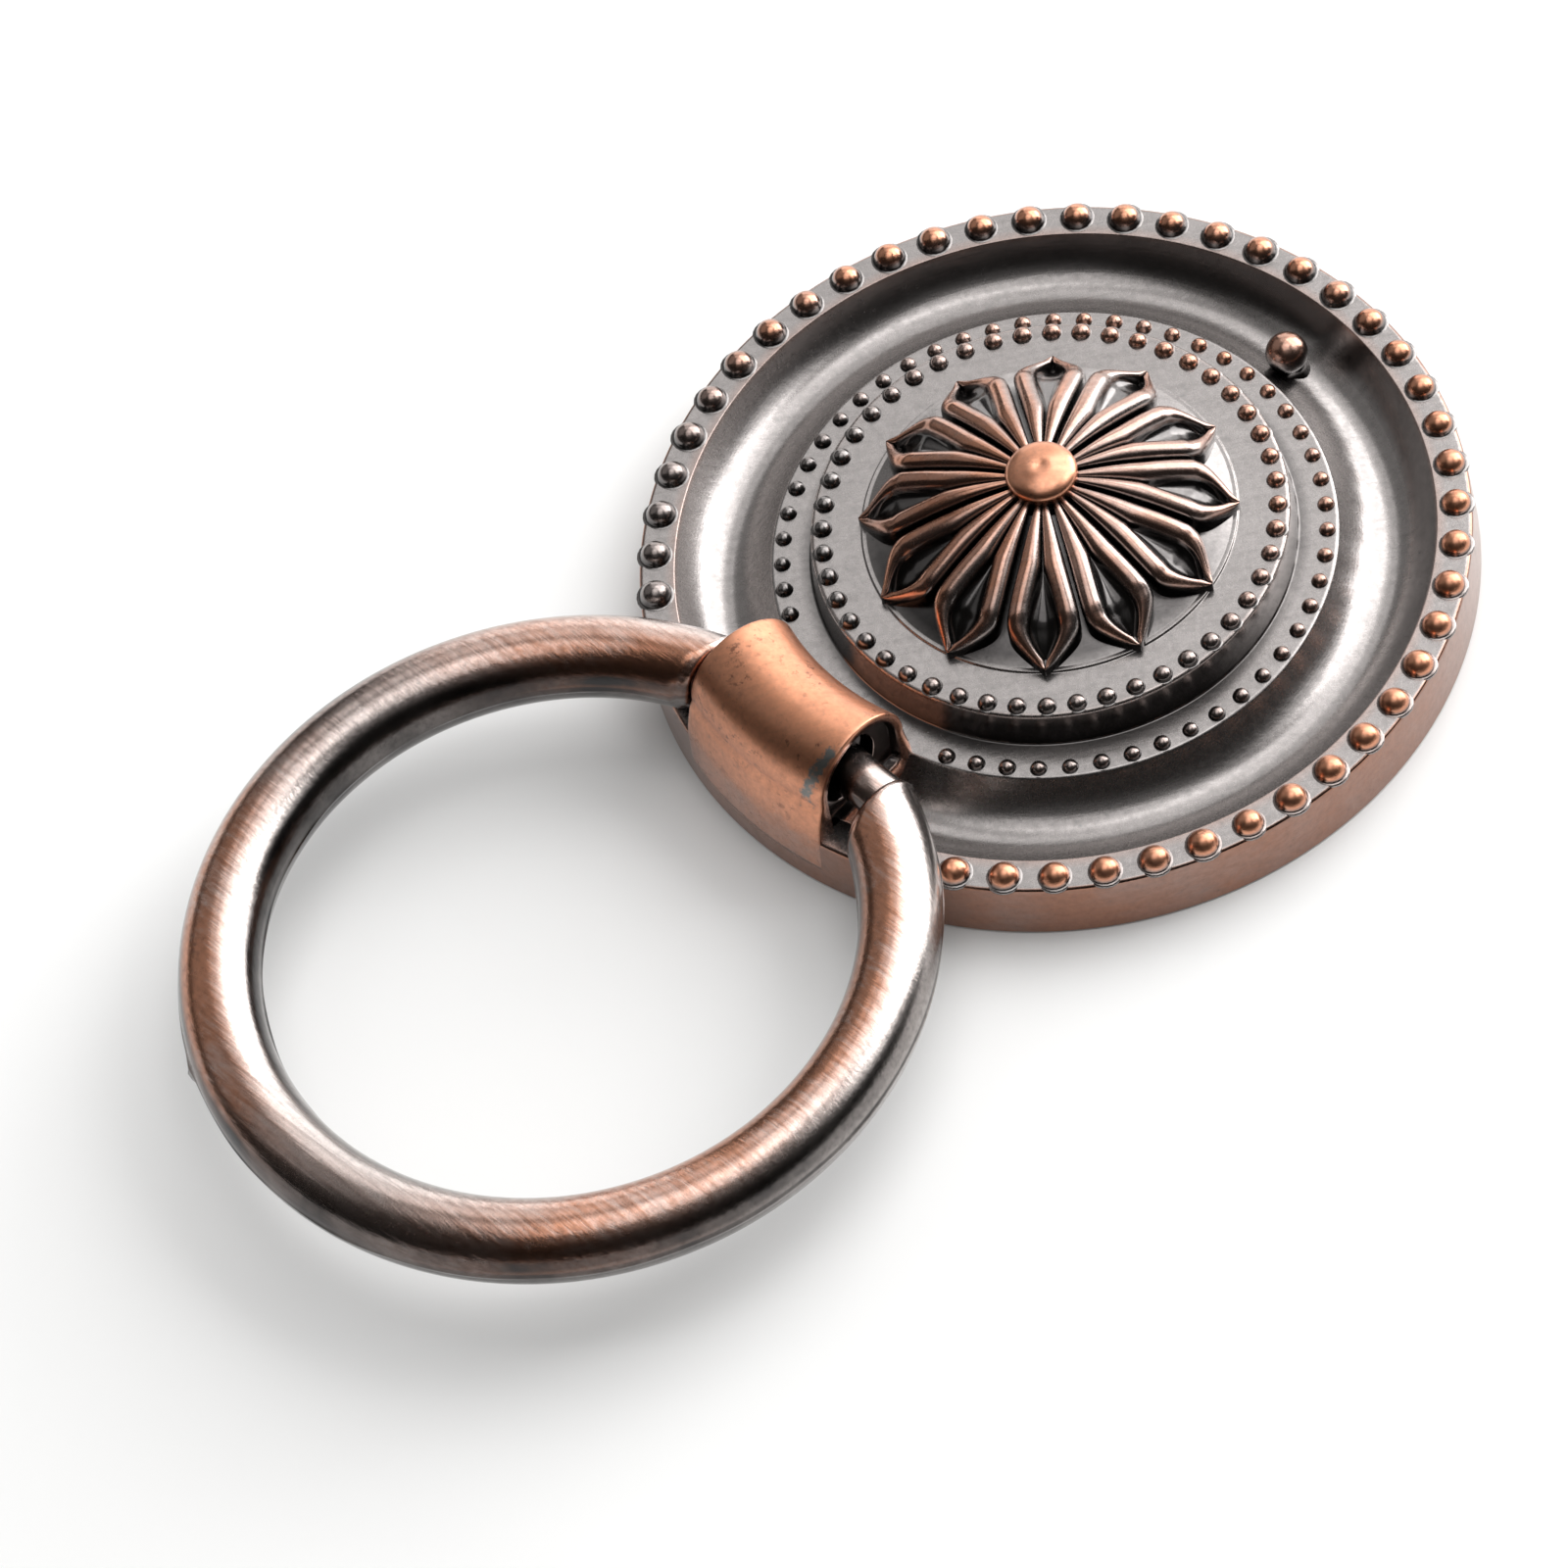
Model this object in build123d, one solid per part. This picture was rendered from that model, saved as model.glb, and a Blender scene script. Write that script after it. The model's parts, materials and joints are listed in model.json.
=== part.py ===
from build123d import *
import math
import os

# Ring pull for a drawer or cabinet door: a round beaded backplate with a rosette, and a loose ring.
# The origin is the centre of the back face, on the axis of the fixing screw. +Z points out of the front,
# and +Y points from the plate's centre to the knuckle that holds the ring. All sizes are in millimetres.
# Angles round the plate are counted from +Y towards +X.

os.makedirs("parts", exist_ok=True)

# Plate: outer wall, rim and channel
PLATE_DIAMETER = 42.8
WALL_DRAFT = 0.2
RIM_HEIGHT = 3.5
RIM_WIDTH = 1.8
RIM_EDGE = 0.25
CHANNEL_WIDTH = 5.0
CHANNEL_DEPTH = 1.8
CHANNEL_COVE = 1.6

# Plate: platform and boss
PLATFORM_HEIGHT = 3.4
PLATFORM_WIDTH = 2.0
BOSS_HEIGHT = 5.5
BOSS_DRAFT = 0.25

# Beads: places on the circle, beads cast, angle of the first one, radius
RIM_BEAD_PLACES = 51
RIM_BEADS = 42
RIM_BEAD_START = 37.5
RIM_BEAD_RADIUS = 0.79
PLATFORM_BEAD_PLACES = 55
PLATFORM_BEADS = 48
PLATFORM_BEAD_START = 28.1
PLATFORM_BEAD_RADIUS = 0.43
BOSS_BEADS = 48
BOSS_BEAD_START = 6.0
BOSS_BEAD_RADIUS = 0.49
BEAD_MARGIN = 0.1
BEAD_SINK = 0.03

# Rosette
PETALS = 12
PETAL_START = 14.3
PETAL_TIP_MARGIN = 2.45
PETAL_END = 1.9
PETAL_GROOVE = 0.4
RIB_WIDTH = 0.35
RIB_DROP = 0.3
PETAL_RISE = 2.1
PETAL_CROWN = 0.3
CENTRE_RISE = 3.5
HOLLOW_DEPTH = 0.75
ROOT_HOLLOW = 0.25
TIP_HOLLOW = 0.08
NARROW_CREST = 0.33
DISC_MARGIN = 0.15
DISC_RISE = 0.25
GROOVE_DEPTH = 0.7
BUTTON_DIAMETER = 3.7
BUTTON_RISE = 0.25
BUTTON_DOME = 0.8

# Back: cored recess and threaded post
CASTING_WALL = 1.4
BACK_LAND = 7.4
POST_DIAMETER = 8.0
SCREW_HOLE_DIAMETER = 3.3
SCREW_HOLE_DEPTH = 6.5

# Ring
RING_BAR = 4.34
RING_DROOP = 0.9
SHOULDER_ROUND = 0.6
PIN_DIAMETER = 2.5
PIN_LENGTH = 5.2
PIN_CHAMFER = 0.3
PIN_INSET = 0.3

# Knuckle and stop peg
KNUCKLE_LENGTH = 9.2
KNUCKLE_FLARE = 0.12
KNUCKLE_WALL = 0.5
KNUCKLE_DRAFT = 0.3
KNUCKLE_FOOT = 0.5
KNUCKLE_SECTOR = 30
POCKET_DEPTH = 0.6
COUNTERBORE_DIAMETER = 3.8
COUNTERBORE_DEPTH = 1.2
PEG_BALL_DIAMETER = 2.2
PEG_NECK_DIAMETER = 1.7

# Hinge place and clearances of the moving ring
HINGE_INSET = 4.0
ARCH_OFFSET = 0.1
FOLD_OFFSET = 0.4
REST_GAP = 0.15
PIN_GAP = 0.08
POCKET_GAP = 1.15
SIDE_PLAY = 2.2
SIDE_GAP = 0.1
FOLD_LIFT = 0.7
FOLD_GAP = 0.15

# Plate radii, each step set in from the one outside it
PLATE_RADIUS = PLATE_DIAMETER / 2
RIM_OUTER = PLATE_RADIUS - WALL_DRAFT
RIM_INNER = RIM_OUTER - RIM_WIDTH
PLATFORM_RADIUS = RIM_INNER - CHANNEL_WIDTH
BOSS_FOOT = PLATFORM_RADIUS - PLATFORM_WIDTH
BOSS_RADIUS = BOSS_FOOT - BOSS_DRAFT
PETAL_TIP = BOSS_RADIUS - PETAL_TIP_MARGIN
CHANNEL_FLOOR = RIM_HEIGHT - CHANNEL_DEPTH

# Rosette heights and radii
DISC_RADIUS = PETAL_TIP - DISC_MARGIN
DISC_Z = BOSS_HEIGHT + DISC_RISE
CENTRE_Z = BOSS_HEIGHT + CENTRE_RISE
GROOVE_Z = CENTRE_Z - GROOVE_DEPTH
BUTTON_RADIUS = BUTTON_DIAMETER / 2
BUTTON_EDGE_Z = CENTRE_Z + BUTTON_RISE

# Hinge axis, along X, at a height where the ring just clears the rim
HINGE_Y = PLATE_RADIUS - HINGE_INSET
HINGE_Z = RIM_HEIGHT + RING_BAR / 2 + REST_GAP
ARCH_RADIUS = HINGE_Y + ARCH_OFFSET
POCKET_RADIUS = PIN_DIAMETER / 2 + POCKET_GAP
KNUCKLE_RADIUS = POCKET_RADIUS + KNUCKLE_WALL

# Ring, sized to lie round the boss when it is folded over the plate
RING_RADIUS = HINGE_Y - FOLD_OFFSET
RING_REACH = RING_RADIUS - PIN_INSET

# Ring ends and stop peg
END_REACH = (KNUCKLE_LENGTH + SIDE_PLAY) / 2
FLARE_ROOM = KNUCKLE_FLARE * (RING_RADIUS - math.sqrt((RING_RADIUS - RING_BAR / 2) ** 2 - END_REACH**2))
SHOULDER = END_REACH + FLARE_ROOM
RING_SHIFT = SIDE_GAP - SIDE_PLAY / 2
PEG_Y = HINGE_Y - RING_REACH - RING_RADIUS
PEG_Z = HINGE_Z + FOLD_LIFT - RING_BAR / 2 - FOLD_GAP - PEG_BALL_DIAMETER / 2


def round_plate(angle):
    """Rotation that carries a shape on +Y to an angle counted from +Y towards +X."""
    return Rot(0, 0, -angle)


def plate_body():
    """The turned form of the casting, from the cored back to the rosette's cone and button."""
    platform_cove = PLATFORM_HEIGHT - CHANNEL_FLOOR
    core_radius = PLATE_RADIUS - BACK_LAND
    core_step = BOSS_RADIUS - CASTING_WALL
    post_radius = POST_DIAMETER / 2
    eighth = 1 - math.sqrt(0.5)
    wall = Polyline(
        (0, 0),
        (post_radius, 0),
        (post_radius, BOSS_HEIGHT - CASTING_WALL),
        (core_step, BOSS_HEIGHT - CASTING_WALL),
        (core_step, PLATFORM_HEIGHT - CASTING_WALL),
        (core_radius, PLATFORM_HEIGHT - CASTING_WALL),
        (core_radius, 0),
        (PLATE_RADIUS, 0),
        (RIM_OUTER, RIM_HEIGHT - RIM_EDGE),
        (RIM_OUTER - RIM_EDGE, RIM_HEIGHT),
        (RIM_INNER, RIM_HEIGHT),
        (RIM_INNER, CHANNEL_FLOOR + CHANNEL_COVE),
    )
    rim_cove = ThreePointArc(
        (RIM_INNER, CHANNEL_FLOOR + CHANNEL_COVE),
        (RIM_INNER - CHANNEL_COVE * eighth, CHANNEL_FLOOR + CHANNEL_COVE * eighth),
        (RIM_INNER - CHANNEL_COVE, CHANNEL_FLOOR),
    )
    floor = Line(
        (RIM_INNER - CHANNEL_COVE, CHANNEL_FLOOR),
        (PLATFORM_RADIUS + platform_cove, CHANNEL_FLOOR),
    )
    step_cove = ThreePointArc(
        (PLATFORM_RADIUS + platform_cove, CHANNEL_FLOOR),
        (PLATFORM_RADIUS + platform_cove * eighth, CHANNEL_FLOOR + platform_cove * eighth),
        (PLATFORM_RADIUS, PLATFORM_HEIGHT),
    )
    steps = Polyline(
        (PLATFORM_RADIUS, PLATFORM_HEIGHT),
        (BOSS_FOOT, PLATFORM_HEIGHT),
        (BOSS_RADIUS, BOSS_HEIGHT),
        (DISC_RADIUS, BOSS_HEIGHT),
        (DISC_RADIUS, DISC_Z),
        (DISC_RADIUS - DISC_RISE, DISC_Z),
        (BUTTON_RADIUS, GROOVE_Z),
        (BUTTON_RADIUS, BUTTON_EDGE_Z),
    )
    dome_radius = (BUTTON_RADIUS**2 + BUTTON_DOME**2) / (2 * BUTTON_DOME)
    half_angle = math.atan2(BUTTON_DOME, BUTTON_RADIUS)
    top_z = BUTTON_EDGE_Z + BUTTON_DOME
    dome = ThreePointArc(
        (BUTTON_RADIUS, BUTTON_EDGE_Z),
        (dome_radius * math.sin(half_angle), top_z - dome_radius * (1 - math.cos(half_angle))),
        (0, top_z),
    )
    axis_line = Line((0, top_z), (0, 0))
    outline = wall + rim_cove + floor + step_cove + steps + dome + axis_line
    return revolve(make_face(Plane.XZ * outline), Axis.Z)


def bead_row(circle_radius, height, bead_radius, places, count, start):
    """A row of half balls on a circle, their centres a little below the face they stand on."""
    bead = Pos(0, circle_radius, height - BEAD_SINK) * Sphere(bead_radius)
    return [round_plate(start + 360 / places * i) * bead for i in range(count)]


def beads():
    """The rows on the rim and the platform, broken at the knuckle, and the full row on the boss."""
    platform_circle = PLATFORM_RADIUS - PLATFORM_BEAD_RADIUS - BEAD_MARGIN
    boss_circle = BOSS_RADIUS - BOSS_BEAD_RADIUS - BEAD_MARGIN
    rim_row = bead_row(
        RIM_OUTER - RIM_WIDTH / 2 + BEAD_MARGIN,
        RIM_HEIGHT,
        RIM_BEAD_RADIUS,
        RIM_BEAD_PLACES,
        RIM_BEADS,
        RIM_BEAD_START,
    )
    platform_row = bead_row(
        platform_circle,
        PLATFORM_HEIGHT,
        PLATFORM_BEAD_RADIUS,
        PLATFORM_BEAD_PLACES,
        PLATFORM_BEADS,
        PLATFORM_BEAD_START,
    )
    boss_row = bead_row(
        boss_circle, BOSS_HEIGHT, BOSS_BEAD_RADIUS, BOSS_BEADS, BOSS_BEADS, BOSS_BEAD_START
    )
    return rim_row + platform_row + boss_row


def petal_section(radius, half, crest_z, hollow):
    """Outline across a petal at one radius: two crests with a hollow between them.

    Where the petal is narrower than its ribs, the crests keep a share of its half width.
    """
    crest = max(half - RIB_WIDTH, half * NARROW_CREST)
    points = (
        (-half, BOSS_HEIGHT - DISC_RISE),
        (-half, crest_z - RIB_DROP),
        (-crest, crest_z),
        (0, crest_z - hollow),
        (crest, crest_z),
        (half, crest_z - RIB_DROP),
        (half, BOSS_HEIGHT - DISC_RISE),
    )
    return Wire.make_polygon([(x, radius, z) for x, z in points], close=True)


def petals():
    """Pointed petals round the button, each a hollow between two ribs that meet at its tip."""
    root = BUTTON_RADIUS - PETAL_GROOVE
    corner = PETAL_TIP - PETAL_END
    middle = (root + corner) / 2
    corner_z = BOSS_HEIGHT + PETAL_RISE
    middle_z = (CENTRE_Z + corner_z) / 2 + PETAL_CROWN
    tip_z = DISC_Z + RIB_DROP

    def half_width(radius):
        return radius * math.tan(math.pi / PETALS) - PETAL_GROOVE / 2

    petal = Solid.make_loft(
        [
            petal_section(root, half_width(root), CENTRE_Z, ROOT_HOLLOW),
            petal_section(middle, half_width(middle), middle_z, HOLLOW_DEPTH),
            petal_section(corner, half_width(corner), corner_z, HOLLOW_DEPTH),
            petal_section(PETAL_TIP, PETAL_GROOVE / 2, tip_z, TIP_HOLLOW),
        ],
        ruled=True,
    )
    return [round_plate(PETAL_START + 360 / PETALS * i) * petal for i in range(PETALS)]


def arch_sector(outline):
    """A section at the knuckle's middle, carried round the plate's axis to both sides of +Y."""
    sector = 2 * KNUCKLE_SECTOR
    return Rot(0, 0, -KNUCKLE_SECTOR) * revolve(make_face(Plane.YZ * outline), Axis.Z, sector)


def knuckle_slab(inset):
    """Upright block between the knuckle's two flared ends, each set in by the same length."""
    near = HINGE_Y - 2 * KNUCKLE_RADIUS
    far = HINGE_Y + 2 * KNUCKLE_RADIUS
    half_near = KNUCKLE_LENGTH / 2 - inset + KNUCKLE_FLARE * (near - HINGE_Y)
    half_far = KNUCKLE_LENGTH / 2 - inset + KNUCKLE_FLARE * (far - HINGE_Y)
    corners = ((-half_near, near), (half_near, near), (half_far, far), (-half_far, far))
    return extrude(Polygon(*corners, align=None), HINGE_Z + 2 * KNUCKLE_RADIUS)


def arch_top(radius):
    """Half circle about the middle of the arch, from its inner to its outer side."""
    return ThreePointArc(
        (ARCH_RADIUS - radius, HINGE_Z),
        (ARCH_RADIUS, HINGE_Z + radius),
        (ARCH_RADIUS + radius, HINGE_Z),
    )


def knuckle_body():
    """The solid arch: it stands on the platform's edge and runs out flush with the rim's outer wall."""
    inner = ARCH_RADIUS - KNUCKLE_RADIUS
    sunk_z = CHANNEL_FLOOR / 2
    flanks = Polyline(
        (ARCH_RADIUS + KNUCKLE_RADIUS, HINGE_Z),
        (RIM_OUTER, RIM_HEIGHT - KNUCKLE_FOOT),
        (RIM_INNER, sunk_z),
        (inner - KNUCKLE_DRAFT, sunk_z),
        (inner - KNUCKLE_DRAFT, PLATFORM_HEIGHT),
        (inner, HINGE_Z),
    )
    return arch_sector(arch_top(KNUCKLE_RADIUS) + flanks) & knuckle_slab(0)


def knuckle_cuts():
    """The shallow pockets in both ends of the arch, their counterbores and the bore for the ring's pins."""
    legs = Polyline(
        (ARCH_RADIUS + POCKET_RADIUS, HINGE_Z),
        (ARCH_RADIUS + POCKET_RADIUS, RIM_HEIGHT),
        (ARCH_RADIUS - POCKET_RADIUS, RIM_HEIGHT),
        (ARCH_RADIUS - POCKET_RADIUS, HINGE_Z),
    )
    pockets = arch_sector(arch_top(POCKET_RADIUS) + legs) - knuckle_slab(POCKET_DEPTH)
    counterbores = Cylinder(COUNTERBORE_DIAMETER / 2, KNUCKLE_LENGTH)
    middle = KNUCKLE_LENGTH - 2 * (POCKET_DEPTH + COUNTERBORE_DEPTH)
    counterbores = counterbores - Cylinder(COUNTERBORE_DIAMETER, middle)
    bore = counterbores + Cylinder(PIN_DIAMETER / 2 + PIN_GAP, KNUCKLE_LENGTH)
    return pockets, Pos(0, HINGE_Y, HINGE_Z) * Rot(0, 90, 0) * bore


def stop_peg():
    """A ball on a short neck in the channel, where the folded ring comes to rest."""
    sunk_z = CHANNEL_FLOOR / 2
    neck = Pos(0, PEG_Y, (PEG_Z + sunk_z) / 2) * Cylinder(PEG_NECK_DIAMETER / 2, PEG_Z - sunk_z)
    ball = Pos(0, PEG_Y, PEG_Z) * Sphere(PEG_BALL_DIAMETER / 2)
    return [neck, ball]


def backplate():
    """The whole casting: turned body, petals, beads, knuckle and peg, with its bores cut."""
    casting = plate_body() + petals()
    casting = casting + knuckle_body()
    pockets, bore = knuckle_cuts()
    screw_hole = Pos(0, 0, SCREW_HOLE_DEPTH / 2) * Cylinder(SCREW_HOLE_DIAMETER / 2, SCREW_HOLE_DEPTH)
    casting = casting - pockets - bore - screw_hole
    return casting + (beads() + stop_peg())


def ring():
    """A round bar bent to a ring, open at the knuckle, with a pin on each end along the hinge axis."""
    middle = Pos(RING_SHIFT, HINGE_Y, HINGE_Z)
    whole = middle * Pos(0, RING_REACH, 0) * Torus(RING_RADIUS, RING_BAR / 2)
    bar = whole - middle * Box(2 * SHOULDER, 2 * RING_BAR, 2 * RING_BAR)
    bar = fillet(bar.edges().filter_by(GeomType.BSPLINE), SHOULDER_ROUND)
    root = middle * Rot(0, 90, 0) * Cylinder(PIN_DIAMETER / 2, 2 * (SHOULDER + SHOULDER_ROUND)) & whole
    bar = bar + (root - middle * Box(2 * SHOULDER, 2 * RING_BAR, 2 * RING_BAR))
    pin = Cylinder(PIN_DIAMETER / 2, PIN_LENGTH)
    pin = chamfer(pin.edges().group_by(Axis.Z)[0], PIN_CHAMFER)
    for side in (-1, 1):
        centre = side * (SHOULDER - PIN_LENGTH / 2)
        bar = bar + middle * Pos(centre, 0, 0) * Rot(0, 90 * side, 0) * pin
    return bar.rotate(Axis((0, HINGE_Y, HINGE_Z), (1, 0, 0)), -RING_DROOP)


export_step(backplate(), "parts/backplate.step")
export_step(ring(), "parts/ring.step")
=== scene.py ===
"""Antique copper ring pull: a beaded backplate with a rosette, and a ring that swings in its knuckle."""

import json
import math
from types import SimpleNamespace

import bpy
import numpy as np
from bpy.props import FloatProperty, FloatVectorProperty, IntProperty, PointerProperty
from mathutils import Matrix, Vector


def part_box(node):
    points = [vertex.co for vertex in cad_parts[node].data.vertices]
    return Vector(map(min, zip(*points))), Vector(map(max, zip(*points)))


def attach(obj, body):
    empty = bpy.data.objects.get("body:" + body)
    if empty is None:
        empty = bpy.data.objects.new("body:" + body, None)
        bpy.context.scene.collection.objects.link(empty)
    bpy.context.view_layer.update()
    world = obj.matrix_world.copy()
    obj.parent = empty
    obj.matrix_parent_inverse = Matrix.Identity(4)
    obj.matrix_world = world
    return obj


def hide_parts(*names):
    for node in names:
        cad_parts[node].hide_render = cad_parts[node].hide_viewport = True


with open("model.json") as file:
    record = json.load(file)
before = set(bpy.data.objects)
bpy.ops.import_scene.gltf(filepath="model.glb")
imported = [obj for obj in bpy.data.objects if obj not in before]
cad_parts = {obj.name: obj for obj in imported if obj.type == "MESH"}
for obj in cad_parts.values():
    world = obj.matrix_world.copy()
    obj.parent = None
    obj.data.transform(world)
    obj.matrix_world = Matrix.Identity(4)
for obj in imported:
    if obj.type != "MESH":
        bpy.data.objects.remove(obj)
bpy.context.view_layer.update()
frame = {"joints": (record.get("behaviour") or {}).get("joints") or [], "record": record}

bl_info = {
    "name": "Ring Pull",
    "version": (1, 0, 0),
    "blender": (4, 5, 0),
    "location": "View3D > Sidebar > Ring Pull",
    "description": "Builds a cast ring pull with a beaded rosette backplate in antique copper",
    "category": "Add Mesh",
}

MM = 0.001

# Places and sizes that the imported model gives, in millimetres
PLATE_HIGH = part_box("backplate")[1] / MM
RING_LOW, RING_HIGH = (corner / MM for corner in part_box("ring"))
HINGE = Vector(frame["joints"][0]["pos_m"]) / MM
SCREW = next(m["dims"] for m in frame["record"]["mounts"] if m["name"] == "screw_hole")


def length(name, mm, description):
    """A length property, written here in millimetres and held in metres."""
    return FloatProperty(name=name, description=description, default=mm * MM, unit="LENGTH", precision=5)


def angle(name, degrees, description):
    """An angle property, written here in degrees and held in radians."""
    return FloatProperty(name=name, description=description, default=math.radians(degrees), unit="ROTATION")


def count(name, number, description):
    """A whole number of like things."""
    return IntProperty(name=name, description=description, default=number, min=1)


def share(name, part, description):
    """A share from 0 to 1."""
    return FloatProperty(
        name=name, description=description, default=part, min=0.0, max=1.0, subtype="FACTOR"
    )


def colour(name, rgb, description):
    """A linear colour without alpha."""
    return FloatVectorProperty(name=name, description=description, default=rgb, size=3, subtype="COLOR")


def vector(name, xyz, description, subtype="XYZ"):
    """A place or a direction in the model's frame."""
    return FloatVectorProperty(name=name, description=description, default=xyz, size=3, subtype=subtype)


class PlateSizes(bpy.types.PropertyGroup):
    """Turned form of the backplate."""

    radius: length("Plate radius", PLATE_HIGH.x, "Outer wall at the back face")
    wall_draft: length("Wall draft", 0.2, "How far the outer wall leans in up to the rim")
    rim_height: length("Rim height", 3.5, "Top of the rim above the back face")
    rim_width: length("Rim width", 1.8, "Flat top of the rim")
    channel_width: length("Channel width", 5.0, "Rim to platform")
    channel_floor: length("Channel floor", 1.7, "Floor of the channel above the back face")
    channel_curve: FloatProperty(
        name="Channel curve",
        description="Power of the channel's curve: 2 is a parabola, more is flatter",
        default=2.1,
    )
    platform_height: length("Platform height", 3.4, "Platform above the back face")
    platform_width: length("Platform width", 2.0, "Platform's edge to the foot of the boss")
    boss_height: length("Boss height", 5.5, "Boss above the back face")
    boss_draft: length("Boss draft", 0.25, "How far the boss wall leans in")
    edge: length("Soft edge", 0.22, "Rounding of the cast edges")
    corner: length("Soft corner", 0.12, "Rounding of the inner corners")
    core_radius: length("Core radius", 14.0, "Cored recess in the back")
    core_wall: length("Casting wall", 1.4, "Wall left over the cored recess")
    post_radius: length("Post radius", 4.0, "Threaded post in the back")
    screw_minor: length("Thread crest radius", SCREW["r_mm"], "Inner radius of the screw thread")
    screw_major: length("Thread root radius", 2.0, "Outer radius of the screw thread")
    screw_pitch: length("Thread pitch", 0.7, "Rise of the thread in one turn")
    screw_depth: length("Thread depth", SCREW["length_mm"], "Depth of the screw hole")


class BeadSizes(bpy.types.PropertyGroup):
    """Rows of beads round the plate, with angles counted from the knuckle."""

    rim_places: count("Rim places", 51, "Places for beads on the rim's circle")
    rim_beads: count("Rim beads", 42, "Beads on the rim, broken at the knuckle")
    rim_start: angle("Rim start", 37.5, "Place of the first rim bead")
    rim_radius: length("Rim bead radius", 0.79, "Radius of a rim bead")
    platform_places: count("Platform places", 55, "Places for beads on the platform's circle")
    platform_beads: count("Platform beads", 48, "Beads on the platform, broken at the knuckle")
    platform_start: angle("Platform start", 28.1, "Place of the first platform bead")
    platform_radius: length("Platform bead radius", 0.43, "Radius of a platform bead")
    boss_beads: count("Boss beads", 48, "Beads round the boss")
    boss_start: angle("Boss start", 6.0, "Place of the first boss bead")
    boss_radius: length("Boss bead radius", 0.49, "Radius of a boss bead")
    rim_polish: share("Rim polish", 1.0, "How far the rim's beads are rubbed to copper")
    inner_polish: share("Inner polish", 0.15, "How far the other beads are rubbed to copper")
    rim_rubbed: angle("Rim's rubbed side", -90, "Side from which the rim's beads are rubbed")
    inner_rubbed: angle("Inner rubbed side", 180, "Side from which the other beads are rubbed")
    # The beads on this side are painted darker and less copper, as shade
    shaded_from: angle("Dull side", 38, "Side on which the beads stayed dark")
    margin: length("Bead margin", 0.1, "Bead to the edge that it follows")
    sink: length("Bead sink", 0.03, "Bead's centre below the face that it stands on")


class RosetteSizes(bpy.types.PropertyGroup):
    """Petals and button on the boss, with angles counted from the knuckle."""

    petals: count("Petals", 12, "Petals round the button")
    rubbed_from: angle("Rubbed side", 42, "Side from which the petals are rubbed bright")
    # The disc between the petals is painted dark as shade on this side
    shaded_from: angle("Dull side", 317, "Side on which the disc between the petals stayed dark")
    start: angle("First petal", 14.3, "Middle of the first petal")
    tip_radius: length("Tip radius", 9.7, "Petal tips from the plate's axis")
    corner_radius: length("Corner radius", 7.8, "Widest place of a petal from the plate's axis")
    groove: length("Groove", 0.24, "Gap between two petals")
    rib: length("Rib", 1.16, "Greatest width of a petal's rounded rib")
    hollow: length("Hollow", 0.85, "Depth of a petal's hollow below its ribs")
    crown: length("Crown", 0.4, "Arching of a petal's ribs along their length")
    centre_height: length("Centre height", 9.0, "Ribs where they meet the button")
    corner_height: length("Corner height", 7.6, "Ribs at the petal's widest place")
    tip_height: length("Tip height", 6.05, "Ribs where they meet at the tip")
    disc_radius: length("Disc radius", 9.55, "Thin disc under the petals")
    disc_height: length("Disc height", 5.62, "Top of the disc")
    button_radius: length("Button radius", 1.85, "Round button in the middle")
    button_edge: length("Button edge", 9.25, "Edge of the button above the back face")
    button_dimple: length("Dimple", 0.07, "Small dimple in the button's top")


class KnuckleSizes(bpy.types.PropertyGroup):
    """Hinge knuckle and stop peg."""

    knuckle_length: length("Knuckle length", 9.2, "End to end on the hinge axis")
    flare: share("Flare", 0.12, "How much longer the knuckle gets outwards, for each millimetre and end")
    arch_radius: length("Arch circle", 17.5, "Middle of the arch from the plate's axis")
    radius: length("Knuckle radius", 3.1, "Outside of the arch")
    pocket_radius: length("Pocket radius", 2.58, "Inside of the thin wall at the ends")
    pocket_depth: length("Pocket depth", 0.6, "Depth of the pocket in each end")
    counterbore: length("Counterbore radius", 1.9, "Wide mouth of the bore")
    counterbore_depth: length("Counterbore depth", 1.2, "Depth of the wide mouth")
    bore: length("Bore radius", 1.33, "Bore that the ring's pins turn in")
    edge: length("Soft end", 0.14, "Rounding of the knuckle's ends")
    peg_ball: length("Peg ball radius", 1.1, "Ball of the stop peg")
    peg_neck: length("Peg neck radius", 0.85, "Neck of the stop peg")
    peg_reach: length("Peg reach", 16.3, "Stop peg from the plate's axis")
    peg_height: length("Peg height", 3.1, "Middle of the peg's ball above the back face")


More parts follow.
